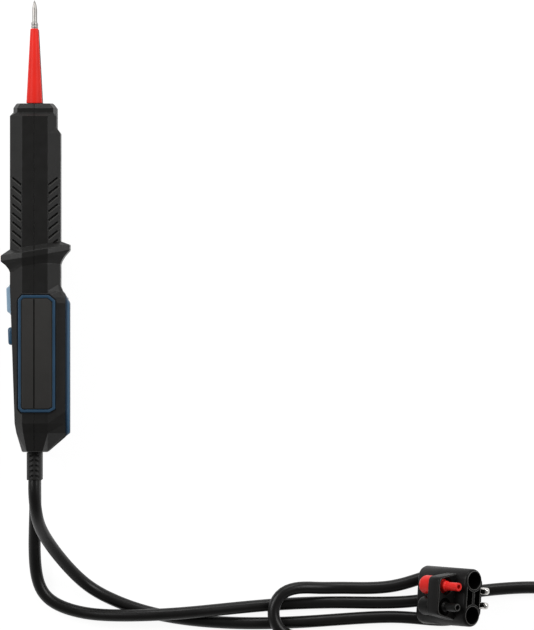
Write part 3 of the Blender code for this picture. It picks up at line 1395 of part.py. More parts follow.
def main():
    clear_scene()
    display = Handle(
        "display", DISPLAY_DEPTH, DISPLAY_GRIP_DEPTH, DISPLAY_CAP_DEPTH, BELLY_BACK, DISPLAY_BUTTON_WIDTH, 1,
    )
    probe = Handle("probe", PROBE_DEPTH, PROBE_GRIP_DEPTH, PROBE_CAP_DEPTH, GRIP_BACK, PROBE_BUTTON_WIDTH, -1)
    centre_x = (BELLY_BACK - GRIP_FRONT - GUARD_REACH) / 2
    centre_y = (TIP_HEIGHT - RELIEF_LENGTH) / 2
    probe_z = PROBE_DEPTH / 2
    display_z = PROBE_DEPTH + GAP + DISPLAY_DEPTH / 2
    tester = empty("tester_frame", Matrix.Translation((-centre_x, -centre_y, 0)))
    display_frame = empty("display_frame", Matrix.Translation((0, 0, display_z)), tester)
    probe_frame = empty("probe_frame", Matrix.Translation((0, 0, probe_z)), tester)
    add_handle(display, display_frame, red_plastic())
    add_handle(probe, probe_frame, black_plastic())
    add_battery_cover(display, display_frame)
    add_cover_screw(display, display_frame)
    add_button(
        "function_button", display, display_frame,
        FUNCTION_HEIGHT, FUNCTION_LENGTH, FUNCTION_WIDTH, FUNCTION_PROUD, FUNCTION_TRAVEL,
    )
    add_board("display_board", display_frame, BOARD_LENGTH, BOARD_WIDTH)
    add_board("probe_board", probe_frame, PROBE_BOARD_LENGTH, PROBE_BOARD_WIDTH)
    add_display(display_frame)
    add_modules(display_frame)
    add_batteries(display_frame)
    add_torch_lens(display_frame)
    block_frame = protector_frame(tester)
    add_tip_protector(block_frame)
    add_tip_caps(block_frame)
    add_adapters(block_frame)
    add_cord(tester, display_z, probe_z)
    bpy.context.view_layer.update()


main()
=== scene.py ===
"""Looks of the two-pole voltage tester: finishes, rounded forms and the cord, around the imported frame.

Units are metres in the row frame. A handle's own frame has its origin in the middle of its bottom face,
+Y along it towards the probe tip and -X out of its button side.
"""

import math

import bmesh
import bpy
import numpy as np
from mathutils import Matrix, Vector


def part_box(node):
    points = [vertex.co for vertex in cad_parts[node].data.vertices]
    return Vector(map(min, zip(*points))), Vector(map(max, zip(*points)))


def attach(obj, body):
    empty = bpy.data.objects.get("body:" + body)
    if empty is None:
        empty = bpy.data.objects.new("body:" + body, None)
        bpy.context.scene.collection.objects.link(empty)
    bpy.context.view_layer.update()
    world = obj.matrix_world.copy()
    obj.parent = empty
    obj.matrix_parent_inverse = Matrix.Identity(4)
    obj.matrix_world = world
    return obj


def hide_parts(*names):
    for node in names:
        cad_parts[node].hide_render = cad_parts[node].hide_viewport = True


MM = 0.001

# Frame of the photograph
PHOTO_HEIGHT = 630
PIXEL = 0.58333 * MM
LENS = 1100.0
SENSOR = 36.0
VIEW_X = 135.0 * MM
VIEW_Y = -43.6 * MM
VIEW_Z = 56.0 * MM

# Stage and light
FLOOR_SIZE = 15.0
WALL_RADIUS = 5.5
WALL_HEIGHT = 3.2
FLOOR_GLOW = 0.92
FLOOR_SHADE = 0.14
SKY = 0.17
WALL_GLOW = 0.5
WALL_SINK = 0.05
LAMP_TARGET = (0.05, -0.03, 0.03)
SOFT_BOXES = (  # name, azimuth, height above the floor in degrees, distance, size, watts
    ("left_box", 155, 40, 2.2, (1.2, 1.0), 31),
    ("right_box", 25, 40, 2.2, (1.2, 1.0), 27),
    ("top_box", 90, 24, 2.4, (1.4, 0.8), 20),
)

# Places shared with the construction
HANDLE_X = -0.7 * MM
HANDLE_Y = -123.5 * MM
DISPLAY_Z = 56.15 * MM
PROBE_Z = 17.0 * MM
DISPLAY_DEPTH = 43.7 * MM
PROBE_DEPTH = 34.0 * MM
COVER_SEAT = 18.3 * MM
COVER_BACK = 20.9 * MM
BLOCK_PLACE = (226.9 * MM, -207.1 * MM, 12.35 * MM)
BLOCK_YAW = math.radians(-3.7)
BLOCK_LEAN = math.radians(46.056)

# Handles in millimetres: half depths of grip and cap, the sloping front wall, and what sits on them;
# heights are from the handle's bottom face
DISPLAY_GRIP = 18.0
DISPLAY_CAP = 14.5
PROBE_GRIP = 14.0
PROBE_CAP = 11.0
FRONT_DEPTH = 11.3
FRONT_START = 14.3
FRONT_RISE = 2.8
FRONT_RUN = 83.1
FRONT_SLOPE = math.atan2(FRONT_RISE, FRONT_RUN)
PAD_SEAT = 2.0
RIM_WIDTH = 1.7
PAD_INSET = 1.95
PAD_SLOT_HALF = 0.35
PAD_SLOT_DEPTH = 1.3
BUTTON_HEIGHT = 88.8
FUNCTION_HEIGHT = 67.6
LAMPS = 7
LAMP_PITCH = 4.4
LAMP_BAR_HEIGHT = 42.0
LAMP_BAR_SIDE = 10.8
COVER_SCREW_HEIGHT = 87.8

# Screws in millimetres: seat below the top, shank radius, head radius, head height
COVER_SCREW = (1.9, 1.2, 2.4, 0.9)
HOUSING_SCREW = (2.0, 1.45, 2.75, 2.0)

# Parting line in millimetres
PAD_PROUD = 1.5
SEAM_SINK = 0.35
SEAM_DEPTH = 1.3
SEAM_HALF = 0.16

# Tip protector in millimetres
TUBE_REACH = 10.25
TUBE_RADIUS = 6.7
CAP_REACH = 6.05
CAP_HEIGHT = 13.8
ADAPTER_REACH = 4.3
ADAPTER_HEIGHT = -13.4
REAR_EAR_SHIFT = -4.0

# Grip grooves in millimetres
GROOVES = 8
GROOVE_TOP = 158.3
GROOVE_PITCH = 5.17
GROOVE_SLOPE = math.radians(33)

# Cord
CORD_DIAMETER = 7.2 * MM
CORD_START = -16.8
CORD_STEP = 2.5 * MM
CORD_ROUTE = (
    (0.0, -23.5, 56.15), (1.0, -35.0, 52.0), (6.5, -50.5, 33.0), (26.5, -75.0, 7.6),
    (42.5, -85.5, 3.8), (67.5, -94.5, 3.6), (105.5, -100.0, 3.6), (155.0, -100.0, 3.6),
    (208.0, -97.0, 3.6), (230.5, -98.4, 3.6), (243.5, -98.4, 5.6), (252.9, -94.3, 9.4),
    (256.8, -85.0, 11.3), (252.9, -75.7, 9.4), (243.5, -71.6, 5.6), (230.5, -73.0, 3.6),
    (209.0, -79.0, 3.6), (181.0, -80.0, 3.6), (166.5, -80.0, 5.6), (154.0, -80.0, 9.2),
    (144.0, -84.0, 11.3), (139.5, -94.5, 11.5), (144.0, -105.0, 11.3), (154.0, -109.0, 9.0),
    (169.5, -109.5, 4.8), (240.0, -112.0, 3.6), (297.5, -109.5, 3.6), (308.5, -105.0, 3.6),
    (313.0, -94.5, 3.6), (308.5, -84.0, 3.6), (297.5, -80.0, 3.6), (255.5, -82.5, 3.6),
    (219.0, -88.0, 3.6), (178.5, -88.5, 3.6), (137.5, -90.0, 3.6), (99.5, -93.5, 9.8),
    (73.5, -95.5, 11.6), (44.0, -96.0, 7.4), (23.5, -93.5, 3.6), (6.5, -85.0, 3.6),
    (0.0, -66.5, 6.2), (0.0, -36.0, 15.8), (0.0, -23.5, 17.0),
)

# Sizes of the clouds in the finishes
MOTTLING = 14 * MM
SMEARS = 5 * MM

# Blue bands across the battery cover, as (share of its thickness, colour): a painted shade along its inner
# edge, a painted highlight as a light ridge line, then the cover's own blue
COVER_PAINTED_BANDS = (
    (0.44, (0.004, 0.021, 0.046)),
    (0.59, (0.055, 0.135, 0.23)),
    (0.72, (0.011, 0.05, 0.1)),
)

# Mesh detail
SIDES = 64
FILLET_STEPS = 4
SOFT_ANGLE = math.radians(32)

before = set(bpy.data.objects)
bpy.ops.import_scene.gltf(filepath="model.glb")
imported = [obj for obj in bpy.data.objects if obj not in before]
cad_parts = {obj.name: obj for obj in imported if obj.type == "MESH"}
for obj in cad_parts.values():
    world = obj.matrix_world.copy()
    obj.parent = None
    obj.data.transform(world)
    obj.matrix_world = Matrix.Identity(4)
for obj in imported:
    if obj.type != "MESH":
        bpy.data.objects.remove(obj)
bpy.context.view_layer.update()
display_frame = Matrix.Translation((HANDLE_X, HANDLE_Y, DISPLAY_Z))
probe_frame = Matrix.Translation((HANDLE_X, HANDLE_Y, PROBE_Z))
block_frame = Matrix.Translation(BLOCK_PLACE) @ Matrix.Rotation(BLOCK_YAW, 4, "Z")
block_frame = block_frame @ Matrix.Rotation(-BLOCK_LEAN, 4, "Y")
along_x = Matrix.Rotation(math.radians(-90), 4, "Z")


# Node tools for materials

def new_material(name):
    """Material with its Principled shader, node tree and a place texture in metres."""
    material = bpy.data.materials.new(name)
    material.use_nodes = True
    tree = material.node_tree
    shader = tree.nodes["Principled BSDF"]
    place = tree.nodes.new("ShaderNodeTexCoord").outputs["Object"]
    return material, tree, shader, place


def noise(tree, place, size, detail=2.0, roughness=0.5):
    """Noise whose grains are about size metres wide."""
    node = tree.nodes.new("ShaderNodeTexNoise")
    node.inputs["Scale"].default_value = 1 / size
    node.inputs["Detail"].default_value = detail
    node.inputs["Roughness"].default_value = roughness
    tree.links.new(place, node.inputs["Vector"])
    return node.outputs["Fac"]


def ranged(tree, value, low, high, start=0.3, end=0.7):
    """Value remapped from start..end to low..high."""
    node = tree.nodes.new("ShaderNodeMapRange")
    node.inputs["From Min"].default_value = start
    node.inputs["From Max"].default_value = end
    node.inputs["To Min"].default_value = low
    node.inputs["To Max"].default_value = high
    tree.links.new(value, node.inputs["Value"])
    return node.outputs["Result"]


def between_colours(tree, fac, dark, light):
    """Colour that goes from dark to light as fac goes from 0 to 1."""
    node = tree.nodes.new("ShaderNodeMix")
    node.data_type = "RGBA"
    node.inputs["A"].default_value = (*dark, 1.0)
    node.inputs["B"].default_value = (*light, 1.0)
    tree.links.new(fac, node.inputs["Factor"])
    return node.outputs["Result"]


def bumped(tree, height, depth, normal=None):
    """Normal from a height value whose full range stands depth metres high."""
    node = tree.nodes.new("ShaderNodeBump")
    node.inputs["Strength"].default_value = 1.0
    node.inputs["Distance"].default_value = depth
    tree.links.new(height, node.inputs["Height"])
    if normal:
        tree.links.new(normal, node.inputs["Normal"])
    return node.outputs["Normal"]


def rounded_normal(tree, radius):
    """Normal that rounds sharp edges in the shading."""
    node = tree.nodes.new("ShaderNodeBevel")
    node.samples = 6
    node.inputs["Radius"].default_value = radius
    return node.outputs["Normal"]


def moulded(name, colour, roughness, grain, depth, edge=0.0, spread=0.12, coat=0.0, specular=0.5):
    """Moulded plastic or rubber: slight mottling, a fine texture and rounded edges."""
    material, tree, shader, place = new_material(name)
    cloud = noise(tree, place, MOTTLING, 3.0)
    dark = [c * (1 - spread) for c in colour]
    light = [c * (1 + spread) for c in colour]
    tone = between_colours(tree, ranged(tree, cloud, 0.0, 1.0), dark, light)
    tree.links.new(tone, shader.inputs["Base Color"])
    smear = noise(tree, place, SMEARS, 4.0)
    tree.links.new(ranged(tree, smear, roughness * 0.92, roughness * 1.08), shader.inputs["Roughness"])
    rounding = rounded_normal(tree, edge) if edge else None
    tree.links.new(bumped(tree, noise(tree, place, grain, 1.0), depth, rounding), shader.inputs["Normal"])
    shader.inputs["Specular IOR Level"].default_value = specular
    shader.inputs["Coat Weight"].default_value = coat
    return material


def blue_with_painted_shade_and_highlight():
    """Blue moulding with a painted shade along its inner edge and a painted highlight as a light ridge line,
    by place across the cover.
    """
    material, tree, shader, place = new_material("blue_cover_painted_bands")
    split = tree.nodes.new("ShaderNodeSeparateXYZ")
    tree.links.new(place, split.inputs["Vector"])
    ramp = tree.nodes.new("ShaderNodeValToRGB")
    # The first band is a painted shade, the second a painted highlight and the third the cover's own blue.
    (shade_at, edge), (highlight_at, painted_highlight), (back_at, back) = COVER_PAINTED_BANDS
    stops = ramp.color_ramp.elements
    stops[0].position = shade_at
    stops[0].color = (*edge, 1.0)
    stops[1].position = back_at
    stops[1].color = (*back, 1.0)
    stops.new(highlight_at).color = (*painted_highlight, 1.0)
    seat, face = HANDLE_X + COVER_SEAT, HANDLE_X + COVER_BACK
    across = ranged(tree, split.outputs["X"], 0.0, 1.0, seat, face)
    tree.links.new(across, ramp.inputs["Fac"])
    tree.links.new(ramp.outputs["Color"], shader.inputs["Base Color"])
    smear = noise(tree, place, SMEARS, 4.0)
    tree.links.new(ranged(tree, smear, 0.33, 0.4), shader.inputs["Roughness"])
    grain = noise(tree, place, 0.4 * MM, 1.0)
    normal = bumped(tree, grain, 0.004 * MM, rounded_normal(tree, 0.35 * MM))
    tree.links.new(normal, shader.inputs["Normal"])
    shader.inputs["Specular IOR Level"].default_value = 0.16
    return material


def metal(name, colour, roughness, ring=0.0):
    """Plated metal with fine turning marks along its own Y."""
    material, tree, shader, place = new_material(name)
    cloud = noise(tree, place, 3 * MM, 3.0)
    dark = [c * 0.85 for c in colour]
    tone = between_colours(tree, ranged(tree, cloud, 0.0, 1.0), dark, colour)
    tree.links.new(tone, shader.inputs["Base Color"])
    tree.links.new(ranged(tree, cloud, roughness * 0.85, roughness * 1.15), shader.inputs["Roughness"])
    shader.inputs["Metallic"].default_value = 1.0
    if ring:
        wave = tree.nodes.new("ShaderNodeTexWave")
        wave.bands_direction = "Y"
        wave.inputs["Scale"].default_value = 1 / ring
        tree.links.new(place, wave.inputs["Vector"])
        tree.links.new(bumped(tree, wave.outputs["Fac"], 0.004 * MM), shader.inputs["Normal"])
    return material


def clear(name, colour, roughness):
    """Clear or tinted moulded plastic."""
    material, tree, shader, place = new_material(name)
    shader.inputs["Base Color"].default_value = (*colour, 1.0)
    shader.inputs["Transmission Weight"].default_value = 0.85
    shader.inputs["IOR"].default_value = 1.49
    cloud = noise(tree, place, 4 * MM, 2.0)
    tree.links.new(ranged(tree, cloud, roughness * 0.8, roughness * 1.2), shader.inputs["Roughness"])
    return material


def board_laminate():
    """Green board with a faint weave and lighter tracks."""
    material, tree, shader, place = new_material("board_laminate")
    weave = noise(tree, place, 0.6 * MM, 1.0)
    tracks = noise(tree, place, 4 * MM, 0.0)
    fac = ranged(tree, tracks, 0.0, 1.0, 0.48, 0.52)
    tone = between_colours(tree, fac, (0.008, 0.1, 0.035), (0.02, 0.16, 0.06))
    tree.links.new(tone, shader.inputs["Base Color"])
    tree.links.new(bumped(tree, weave, 0.02 * MM), shader.inputs["Normal"])
    shader.inputs["Roughness"].default_value = 0.4
    return material


def display_glass():
    """Reflective display behind the window: a pale field with faint clouds."""
    material, tree, shader, place = new_material("display_field")
    cloud = noise(tree, place, 9 * MM, 2.0)
    fac = ranged(tree, cloud, 0.0, 1.0)
    tone = between_colours(tree, fac, (0.2, 0.24, 0.19), (0.26, 0.3, 0.23))
    tree.links.new(tone, shader.inputs["Base Color"])
    shader.inputs["Roughness"].default_value = 0.28
    return material


# Finishes: name, colour and roughness, and for moulded ones the grain's width and depth
SHELL = moulded(
    "shell_plastic", (0.0052, 0.005, 0.0046), 0.42, 0.45 * MM, 0.012 * MM, edge=0.3 * MM, specular=0.3,
)
BLOCK = moulded(
    "block_plastic", (0.0036, 0.0034, 0.0032), 0.4, 0.5 * MM, 0.01 * MM, edge=0.35 * MM, specular=0.14,
)
PAD = moulded("soft_pad", (0.02, 0.0192, 0.018), 0.7, 0.35 * MM, 0.015 * MM, spread=0.05, specular=0.22)
RIM_BLUE = moulded("blue_rim", (0.016, 0.045, 0.083), 0.36, 0.4 * MM, 0.004 * MM, edge=0.3 * MM, specular=0.3)
COVER_PAINTED_BLUE = blue_with_painted_shade_and_highlight()
# Pale blue of the thumb keys: partly the keys' own blue, partly a painted highlight on their glossy faces.
PALE_KEY_PARTLY_HIGHLIGHT = moulded("pale_key_partly_painted_highlight", (0.2, 0.31, 0.42), 0.3, 0.5 * MM, 0.003 * MM, coat=0.2)
BLUE_KEY = moulded("blue_key", (0.018, 0.07, 0.135), 0.34, 0.5 * MM, 0.003 * MM, specular=0.35)
RED = moulded("red_sleeve", (0.68, 0.022, 0.014), 0.42, 0.6 * MM, 0.003 * MM, spread=0.04, specular=0.12)
CAP_RED = moulded("red_cap", (0.62, 0.018, 0.014), 0.34, 0.6 * MM, 0.003 * MM, spread=0.05, specular=0.16)
CAP_BLACK = moulded("black_cap", (0.0035, 0.0035, 0.0033), 0.34, 0.4 * MM, 0.006 * MM, specular=0.12)
# Light grey for the edge beads is a painted highlight along the block's edges.
HIGHLIGHT_GREY = moulded("painted_edge_highlight", (0.06, 0.058, 0.055), 0.5, 0.3 * MM, 0.004 * MM, specular=0.3)
# Lighter grey for the grip ribs is a painted highlight on the black shell.
RIB_HIGHLIGHT = moulded("grip_rib", (0.032, 0.031, 0.029), 0.5, 0.3 * MM, 0.006 * MM, specular=0.3)
# Near black for the parting line's lip, and as painted shade in the grooves' floors and dots.
SEAM_AND_SHADE_BLACK = moulded("seam_and_painted_shade_black", (0.002, 0.002, 0.0018), 0.7, 0.4 * MM, 0.006 * MM, specular=0.05)
RUBBER = moulded("relief_rubber", (0.0065, 0.0062, 0.006), 0.5, 0.3 * MM, 0.012 * MM, specular=0.3)
CORD = moulded("cord_jacket", (0.0045, 0.0043, 0.0041), 0.36, 0.7 * MM, 0.01 * MM, specular=0.24)
JACKET = moulded("cell_wrap", (0.05, 0.06, 0.08), 0.3, 0.6 * MM, 0.003 * MM)
DARK_PART = moulded("component_black", (0.015, 0.015, 0.015), 0.5, 0.4 * MM, 0.008 * MM)
STEEL = metal("probe_steel", (0.36, 0.345, 0.33), 0.34, ring=0.25 * MM)
BRIGHT = metal("bright_plate", (0.75, 0.73, 0.7), 0.16, ring=0.3 * MM)
ZINC = metal("screw_zinc_finish", (0.42, 0.42, 0.43), 0.34)
CLEAR = clear("window_clear", (0.75, 0.8, 0.82), 0.06)
LAMP_CLEAR = clear("lamp_clear", (0.85, 0.82, 0.78), 0.18)
LAMP_MILKY = moulded("lamp_milky", (0.42, 0.38, 0.31), 0.25, 0.4 * MM, 0.002 * MM, coat=0.3)


# Mesh tools

def filleted(points, closed=True, steps=FILLET_STEPS):
    """Outline whose corners are rounded; each point is (a, b) or (a, b, radius)."""
    outline = []
    count = len(points)
    for i, (a, b, *radius) in enumerate(points):
        inner = closed or 0 < i < count - 1
        if not radius or not inner:
            outline.append((a, b))
            continue
        here = Vector((a, b))
        before = (Vector(points[i - 1][:2]) - here).normalized()
        after = (Vector(points[(i + 1) % count][:2]) - here).normalized()
        reach = radius[0] / math.tan(before.angle(after) / 2)
        start = here + before * reach
        end = here + after * reach
        for step in range(steps + 1):
            t = step / steps
            outline.append(tuple(start * (1 - t) ** 2 + here * (2 * t * (1 - t)) + end * t**2))
    return outline


def skin(rings, closed=False):
    """Faces between rings of as many points, capped at both ends unless the skin closes on itself."""
    shape = bmesh.new()
    loops = [[shape.verts.new(point) for point in ring] for ring in rings]
    pairs = list(zip(loops, loops[1:]))
    if closed:
        pairs.append((loops[-1], loops[0]))
    for low, high in pairs:
        for i in range(len(low)):
            j = (i + 1) % len(low)
            shape.faces.new((low[i], low[j], high[j], high[i]))
    if not closed:
        shape.faces.new(loops[0])
        shape.faces.new(loops[-1])
    bmesh.ops.recalc_face_normals(shape, faces=shape.faces)
    return shape


def turned(profile, sides=SIDES, bored=False):
    """Solid of revolution round Y from (radius, height) points, a tube if bored."""
    shape = bmesh.new()
    rings = []
    for radius, height in profile:
        count = sides if radius > 1e-7 else 1
        angles = [math.tau * i / sides for i in range(count)]
        rings.append([shape.verts.new((radius * math.cos(a), height, radius * math.sin(a))) for a in angles])
    pairs = list(zip(rings, rings[1:]))
    if bored:
        pairs.append((rings[-1], rings[0]))
    for low, high in pairs:
        for i in range(sides):
            j = (i + 1) % sides
            corners = [low[i % len(low)], low[j % len(low)], high[j % len(high)], high[i % len(high)]]
            shape.faces.new(list(dict.fromkeys(corners)))
    bmesh.ops.recalc_face_normals(shape, faces=shape.faces)
    return shape


def scaled(points):
    """Points given in millimetres, in metres."""
    return [tuple(value * MM for value in point) for point in points]


def joined(shapes):
    """One shape out of several, which are freed."""
    whole = bmesh.new()
    for shape in shapes:
        mesh = bpy.data.meshes.new("joined_part")
        shape.to_mesh(mesh)
        shape.free()
        whole.from_mesh(mesh)
        bpy.data.meshes.remove(mesh)
    return whole


def mesh_object(name, shape, matrix):
    """Object of a shape, moved by a matrix; the shape is freed."""
    mesh = bpy.data.meshes.new(name)
    shape.transform(matrix)
    bmesh.ops.recalc_face_normals(shape, faces=shape.faces)
    shape.to_mesh(mesh)
    shape.free()
    obj = bpy.data.objects.new(name, mesh)
    bpy.context.scene.collection.objects.link(obj)
    return obj


def smooth(obj, angle=SOFT_ANGLE):
    """Smooth shading, sharp where faces meet at more than the angle."""
    obj.data.shade_smooth()
    obj.data.set_sharp_from_angle(angle=angle)


def carve(obj, tools, operation="DIFFERENCE"):
    """Applies exact Booleans with helper meshes and removes the helpers."""
    for tool in tools:
        modifier = obj.modifiers.new(tool.name, "BOOLEAN")
        modifier.operation = operation
        modifier.solver = "EXACT"
        modifier.object = tool
    bpy.context.view_layer.update()
    graph = bpy.context.evaluated_depsgraph_get()
    mesh = bpy.data.meshes.new_from_object(obj.evaluated_get(graph))
    obj.modifiers.clear()
    obj.data = mesh
    for tool in tools:
        bpy.data.objects.remove(tool, do_unlink=True)


def dress(obj, material, node, body="root", angle=SOFT_ANGLE):
    """Gives a piece its finish and body, in place of a CAD node."""
    obj.data.materials.clear()
    obj.data.materials.append(material)
    smooth(obj, angle)
    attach(obj, body)
    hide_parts(node)
    return obj


def dress_trim(obj, material):
    """Gives a thin piece that replaces no CAD node its finish and body."""
    obj.data.materials.append(material)
    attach(obj, "root")
    return obj


def repaint(node, material):
    """Gives a CAD node that stays its finish."""
    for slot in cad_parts[node].material_slots:
        slot.material = material


# Pieces of the two handles

def make_sleeve(handle, matrix, material):
    """Tapered insulating sleeve over the probe rod."""
    profile = filleted(scaled([
        (1.5, 193.3), (5.5, 193.3, 0.3), (5.5, 194.9, 0.2), (3.4, 194.9), (3.4, 203.5), (4.7, 203.5, 0.35),
        (2.35, 246.6, 0.4), (1.95, 247.0, 0.2), (1.5, 247.0),
    ]))
    sleeve = mesh_object(f"{handle}_sleeve_body", turned(profile, bored=True), matrix)
    return dress(sleeve, material, f"{handle}_sleeve", angle=math.radians(50))


def make_rod(handle, matrix):
    """Ground probe tip with its collar."""
    profile = filleted(scaled([
        (0, 190.0), (2.6, 190.0), (2.6, 193.0), (1.2, 193.0), (1.2, 247.3), (1.8, 247.3, 0.15),
        (1.8, 248.6, 0.2), (1.62, 248.9, 0.15), (1.8, 249.2, 0.2), (1.8, 250.5, 0.25), (1.2, 250.9, 0.1),
        (1.2, 258.9, 2.5), (0.65, 261.9, 2.0), (0.1, 263.4, 0.05), (0, 263.5),
    ]), closed=False)
    rod = mesh_object(f"{handle}_probe_tip", turned(profile), matrix)
    return dress(rod, STEEL, f"{handle}_rod", angle=math.radians(40))


def relief_slots(matrix):
    """Slanting slots of a strain relief, in two columns on its upper and lower side."""
    outline = filleted(scaled([(-1.65, -0.6, 0.5), (1.65, -0.6, 0.5), (1.65, 0.6, 0.5), (-1.65, 0.6, 0.5)]))
    tools = []
    for side in (-1, 1):
        for column in (-1, 1):
            for row in range(5):
                shape = skin([[(x, y, z * MM) for x, y in outline] for z in (-1.1, 2.2)])
                lean = Matrix.Rotation(math.radians(-24) * column, 4, "Z")
                place = Matrix.Translation((column * 2.0 * MM, (-2.25 - 3.0 * row) * MM, side * 4.5 * MM))
                face = Matrix.Rotation(math.pi, 4, "Y") if side < 0 else Matrix()
                tools.append(mesh_object("slot_tool", shape, matrix @ place @ lean @ face))
    return tools


def make_relief(handle, matrix):
    """Slotted strain relief, with a plug round the cord's start and a flange in the housing."""
    profile = filleted(scaled([
        (0, -17.4), (3.45, -17.4), (3.45, -16.5), (4.5, -16.5, 0.7), (4.5, -0.3, 0.2), (3.3, -0.3),
        (3.3, 4.3), (5.2, 4.3), (5.2, 6.3), (0, 6.3),
    ]), closed=False)
    relief = mesh_object(f"{handle}_relief_body", turned(profile, 48), matrix)
    carve(relief, relief_slots(matrix))
    return dress(relief, RUBBER, f"{handle}_strain_relief")


PAD_OUTLINE = (
    (-9.3, 25.5), (-7.5, 23.2), (9.0, 23.2), (12.4, 25.2),
    (12.4, 88.4), (8.6, 91.5), (-7.1, 91.5), (-9.3, 88.8),
)


def inset(points, distance):
    """Convex outline moved inwards, each corner kept where its two sides meet."""
    moved = []
    for i, corner in enumerate(points):
        here = Vector(corner)
        before = (here - Vector(points[i - 1])).normalized()
        after = (Vector(points[(i + 1) % len(points)]) - here).normalized()
        bisector = Vector((-before.y, before.x)) + Vector((-after.y, after.x))
        moved.append(tuple(here + bisector * (2 * distance / bisector.length_squared)))
    return moved


def cushioned(outline, levels, corner):
    """Plate over an outline: (height, inset) levels from its seat to its face."""
    rings = []
    for height, inward in levels:
        points = [(x, y, corner) for x, y in inset(outline, inward)]
        rings.append([(x * MM, y * MM, height * MM) for x, y in filleted(points, steps=3)])
    return skin(rings)


def make_pad(name, outline, half_depth, out, matrix):
    """Side pad with a rounded edge and a fine slot down its middle."""
    face = half_depth
    levels = [
        (face - PAD_SEAT, 0.0), (face - 0.55, 0.0), (face - 0.25, 0.1), (face - 0.08, 0.28), (face, 0.55),
    ]
    shape = cushioned(outline, [(out * z, i) for z, i in levels], 0.5)
    pad = mesh_object(f"{name}_face", shape, matrix)
    low, high = outline[1][1] + 0.4, outline[6][1] - 0.4
    half = PAD_SLOT_HALF
    corners = ((-half, low), (half, low), (half, high), (-half, high))
    slot = skin([
        [(x * MM, y * MM, out * z * MM) for x, y in corners] for z in (face - PAD_SLOT_DEPTH, face + 1)
    ])
    carve(pad, [mesh_object("pad_slot_tool", slot, matrix)])
    return dress(pad, PAD, name)


def make_rim(name, half_depth, out, matrix):
    """Narrow coloured rim round the side pad."""
    outer = list(PAD_OUTLINE)
    inner = inset(outer, RIM_WIDTH)
    low = half_depth - PAD_SEAT
    high = half_depth - 0.35
    rings = []
    for points, sign in ((outer, 1), (inner, -1)):
        levels = [(low, 0.0), (high - 0.3, 0.0), (high - 0.09, 0.09), (high, 0.3)]
        if sign < 0:
            levels = levels[::-1]
        for z, inward in levels:
            ring = [(x, y, 0.5) for x, y in inset(points, sign * inward)]
            rings.append([(x * MM, y * MM, out * z * MM) for x, y in filleted(ring, steps=3)])
    rim = mesh_object(f"{name}_frame", skin(rings, closed=True), matrix)
    return dress(rim, RIM_BLUE, name)


def make_seam(handle, half_depth, grip, cap, matrix):
    """Thin dark lip that closes the parting line just under the surface."""
    body = half_depth - PAD_PROUD
    crest = [
        (0.6, body - 7.1), (11.1, body - 2.0), (16.7, body), (22.3, body), (22.9, body - 0.95),
        (91.8, body - 0.95), (92.4, body), (105.1, body - 0.6), (108.8, body - 0.1),
        (111.4, half_depth - 1.0), (114.2, half_depth), (117.6, half_depth), (120.8, grip - 0.4),
        (121.6, grip), (195.9, grip), (198.0, cap), (200.4, cap), (202.7, cap - 1.2),
    ]
    lip = [(y, z - SEAM_SINK) for y, z in crest]
    ring = lip + [(y, z - SEAM_DEPTH) for y, z in reversed(lip)]
    for side, word in ((1, "upper"), (-1, "lower")):
        shape = skin([[(x * MM, y * MM, side * z * MM) for y, z in ring] for x in (-SEAM_HALF, SEAM_HALF)])
        dress_trim(mesh_object(f"{handle}_seam_{word}", shape, matrix), SEAM_AND_SHADE_BLACK)


# The cover's outline at its seat and at its face, as (height, half depth)
COVER_OUTLINES = (
    ((9.1, 11.9), (11.1, 13.9), (16.7, 17.0), (23.9, 18.35), (86.9, 18.35), (89.6, 17.0), (91.7, 14.6)),
    ((11.1, 11.5), (11.9, 12.85), (16.7, 14.85), (23.9, 14.85), (85.9, 14.85), (86.6, 14.4), (86.9, 13.6)),
)


def make_cover():
    """Battery cover with slanting flanks, rounded edges and the counterbore of its screw."""
    seat, face = COVER_OUTLINES
    seat_x, face_x = COVER_SEAT / MM, COVER_BACK / MM
    rings = []
    for share, inward in ((0.0, 0.5), (0.04, 0.12), (0.12, 0.0), (0.88, 0.0), (0.95, 0.1), (1.0, 0.42)):
        x = seat_x + (face_x - seat_x) * share
        side = [
            (a * (1 - share) + c * share, b * (1 - share) + d * share) for (a, b), (c, d) in zip(seat, face)
        ]
        ring = inset([(y, -z) for y, z in side] + side[::-1], inward)
        rings.append([(x * MM, y * MM, z * MM) for y, z in ring])
    cover = mesh_object("battery_cover_plate", skin(rings), display_frame)
    bore = turned(scaled([(0, 17.0), (1.5, 17.0), (1.5, 19.0), (2.7, 19.0), (2.7, 22.0), (0, 22.0)]), 40)
    place = display_frame @ Matrix.Translation((0, COVER_SCREW_HEIGHT * MM, 0)) @ along_x
    carve(cover, [mesh_object("cover_bore", bore, place)])
    # The cover's finish carries a painted shade and a painted highlight in bands across it.
    return dress(cover, COVER_PAINTED_BLUE, "battery_cover")


def grip_facets(half_depth):
    """Outer and inner edge of the four slanting facets of a grip, as (x, z) pairs."""
    for front, facet in ((-14.1, -7.0), (15.3, 8.0)):
        for side in (-1, 1):
            yield (front, side * (half_depth - 5.5)), (facet, side * half_depth)


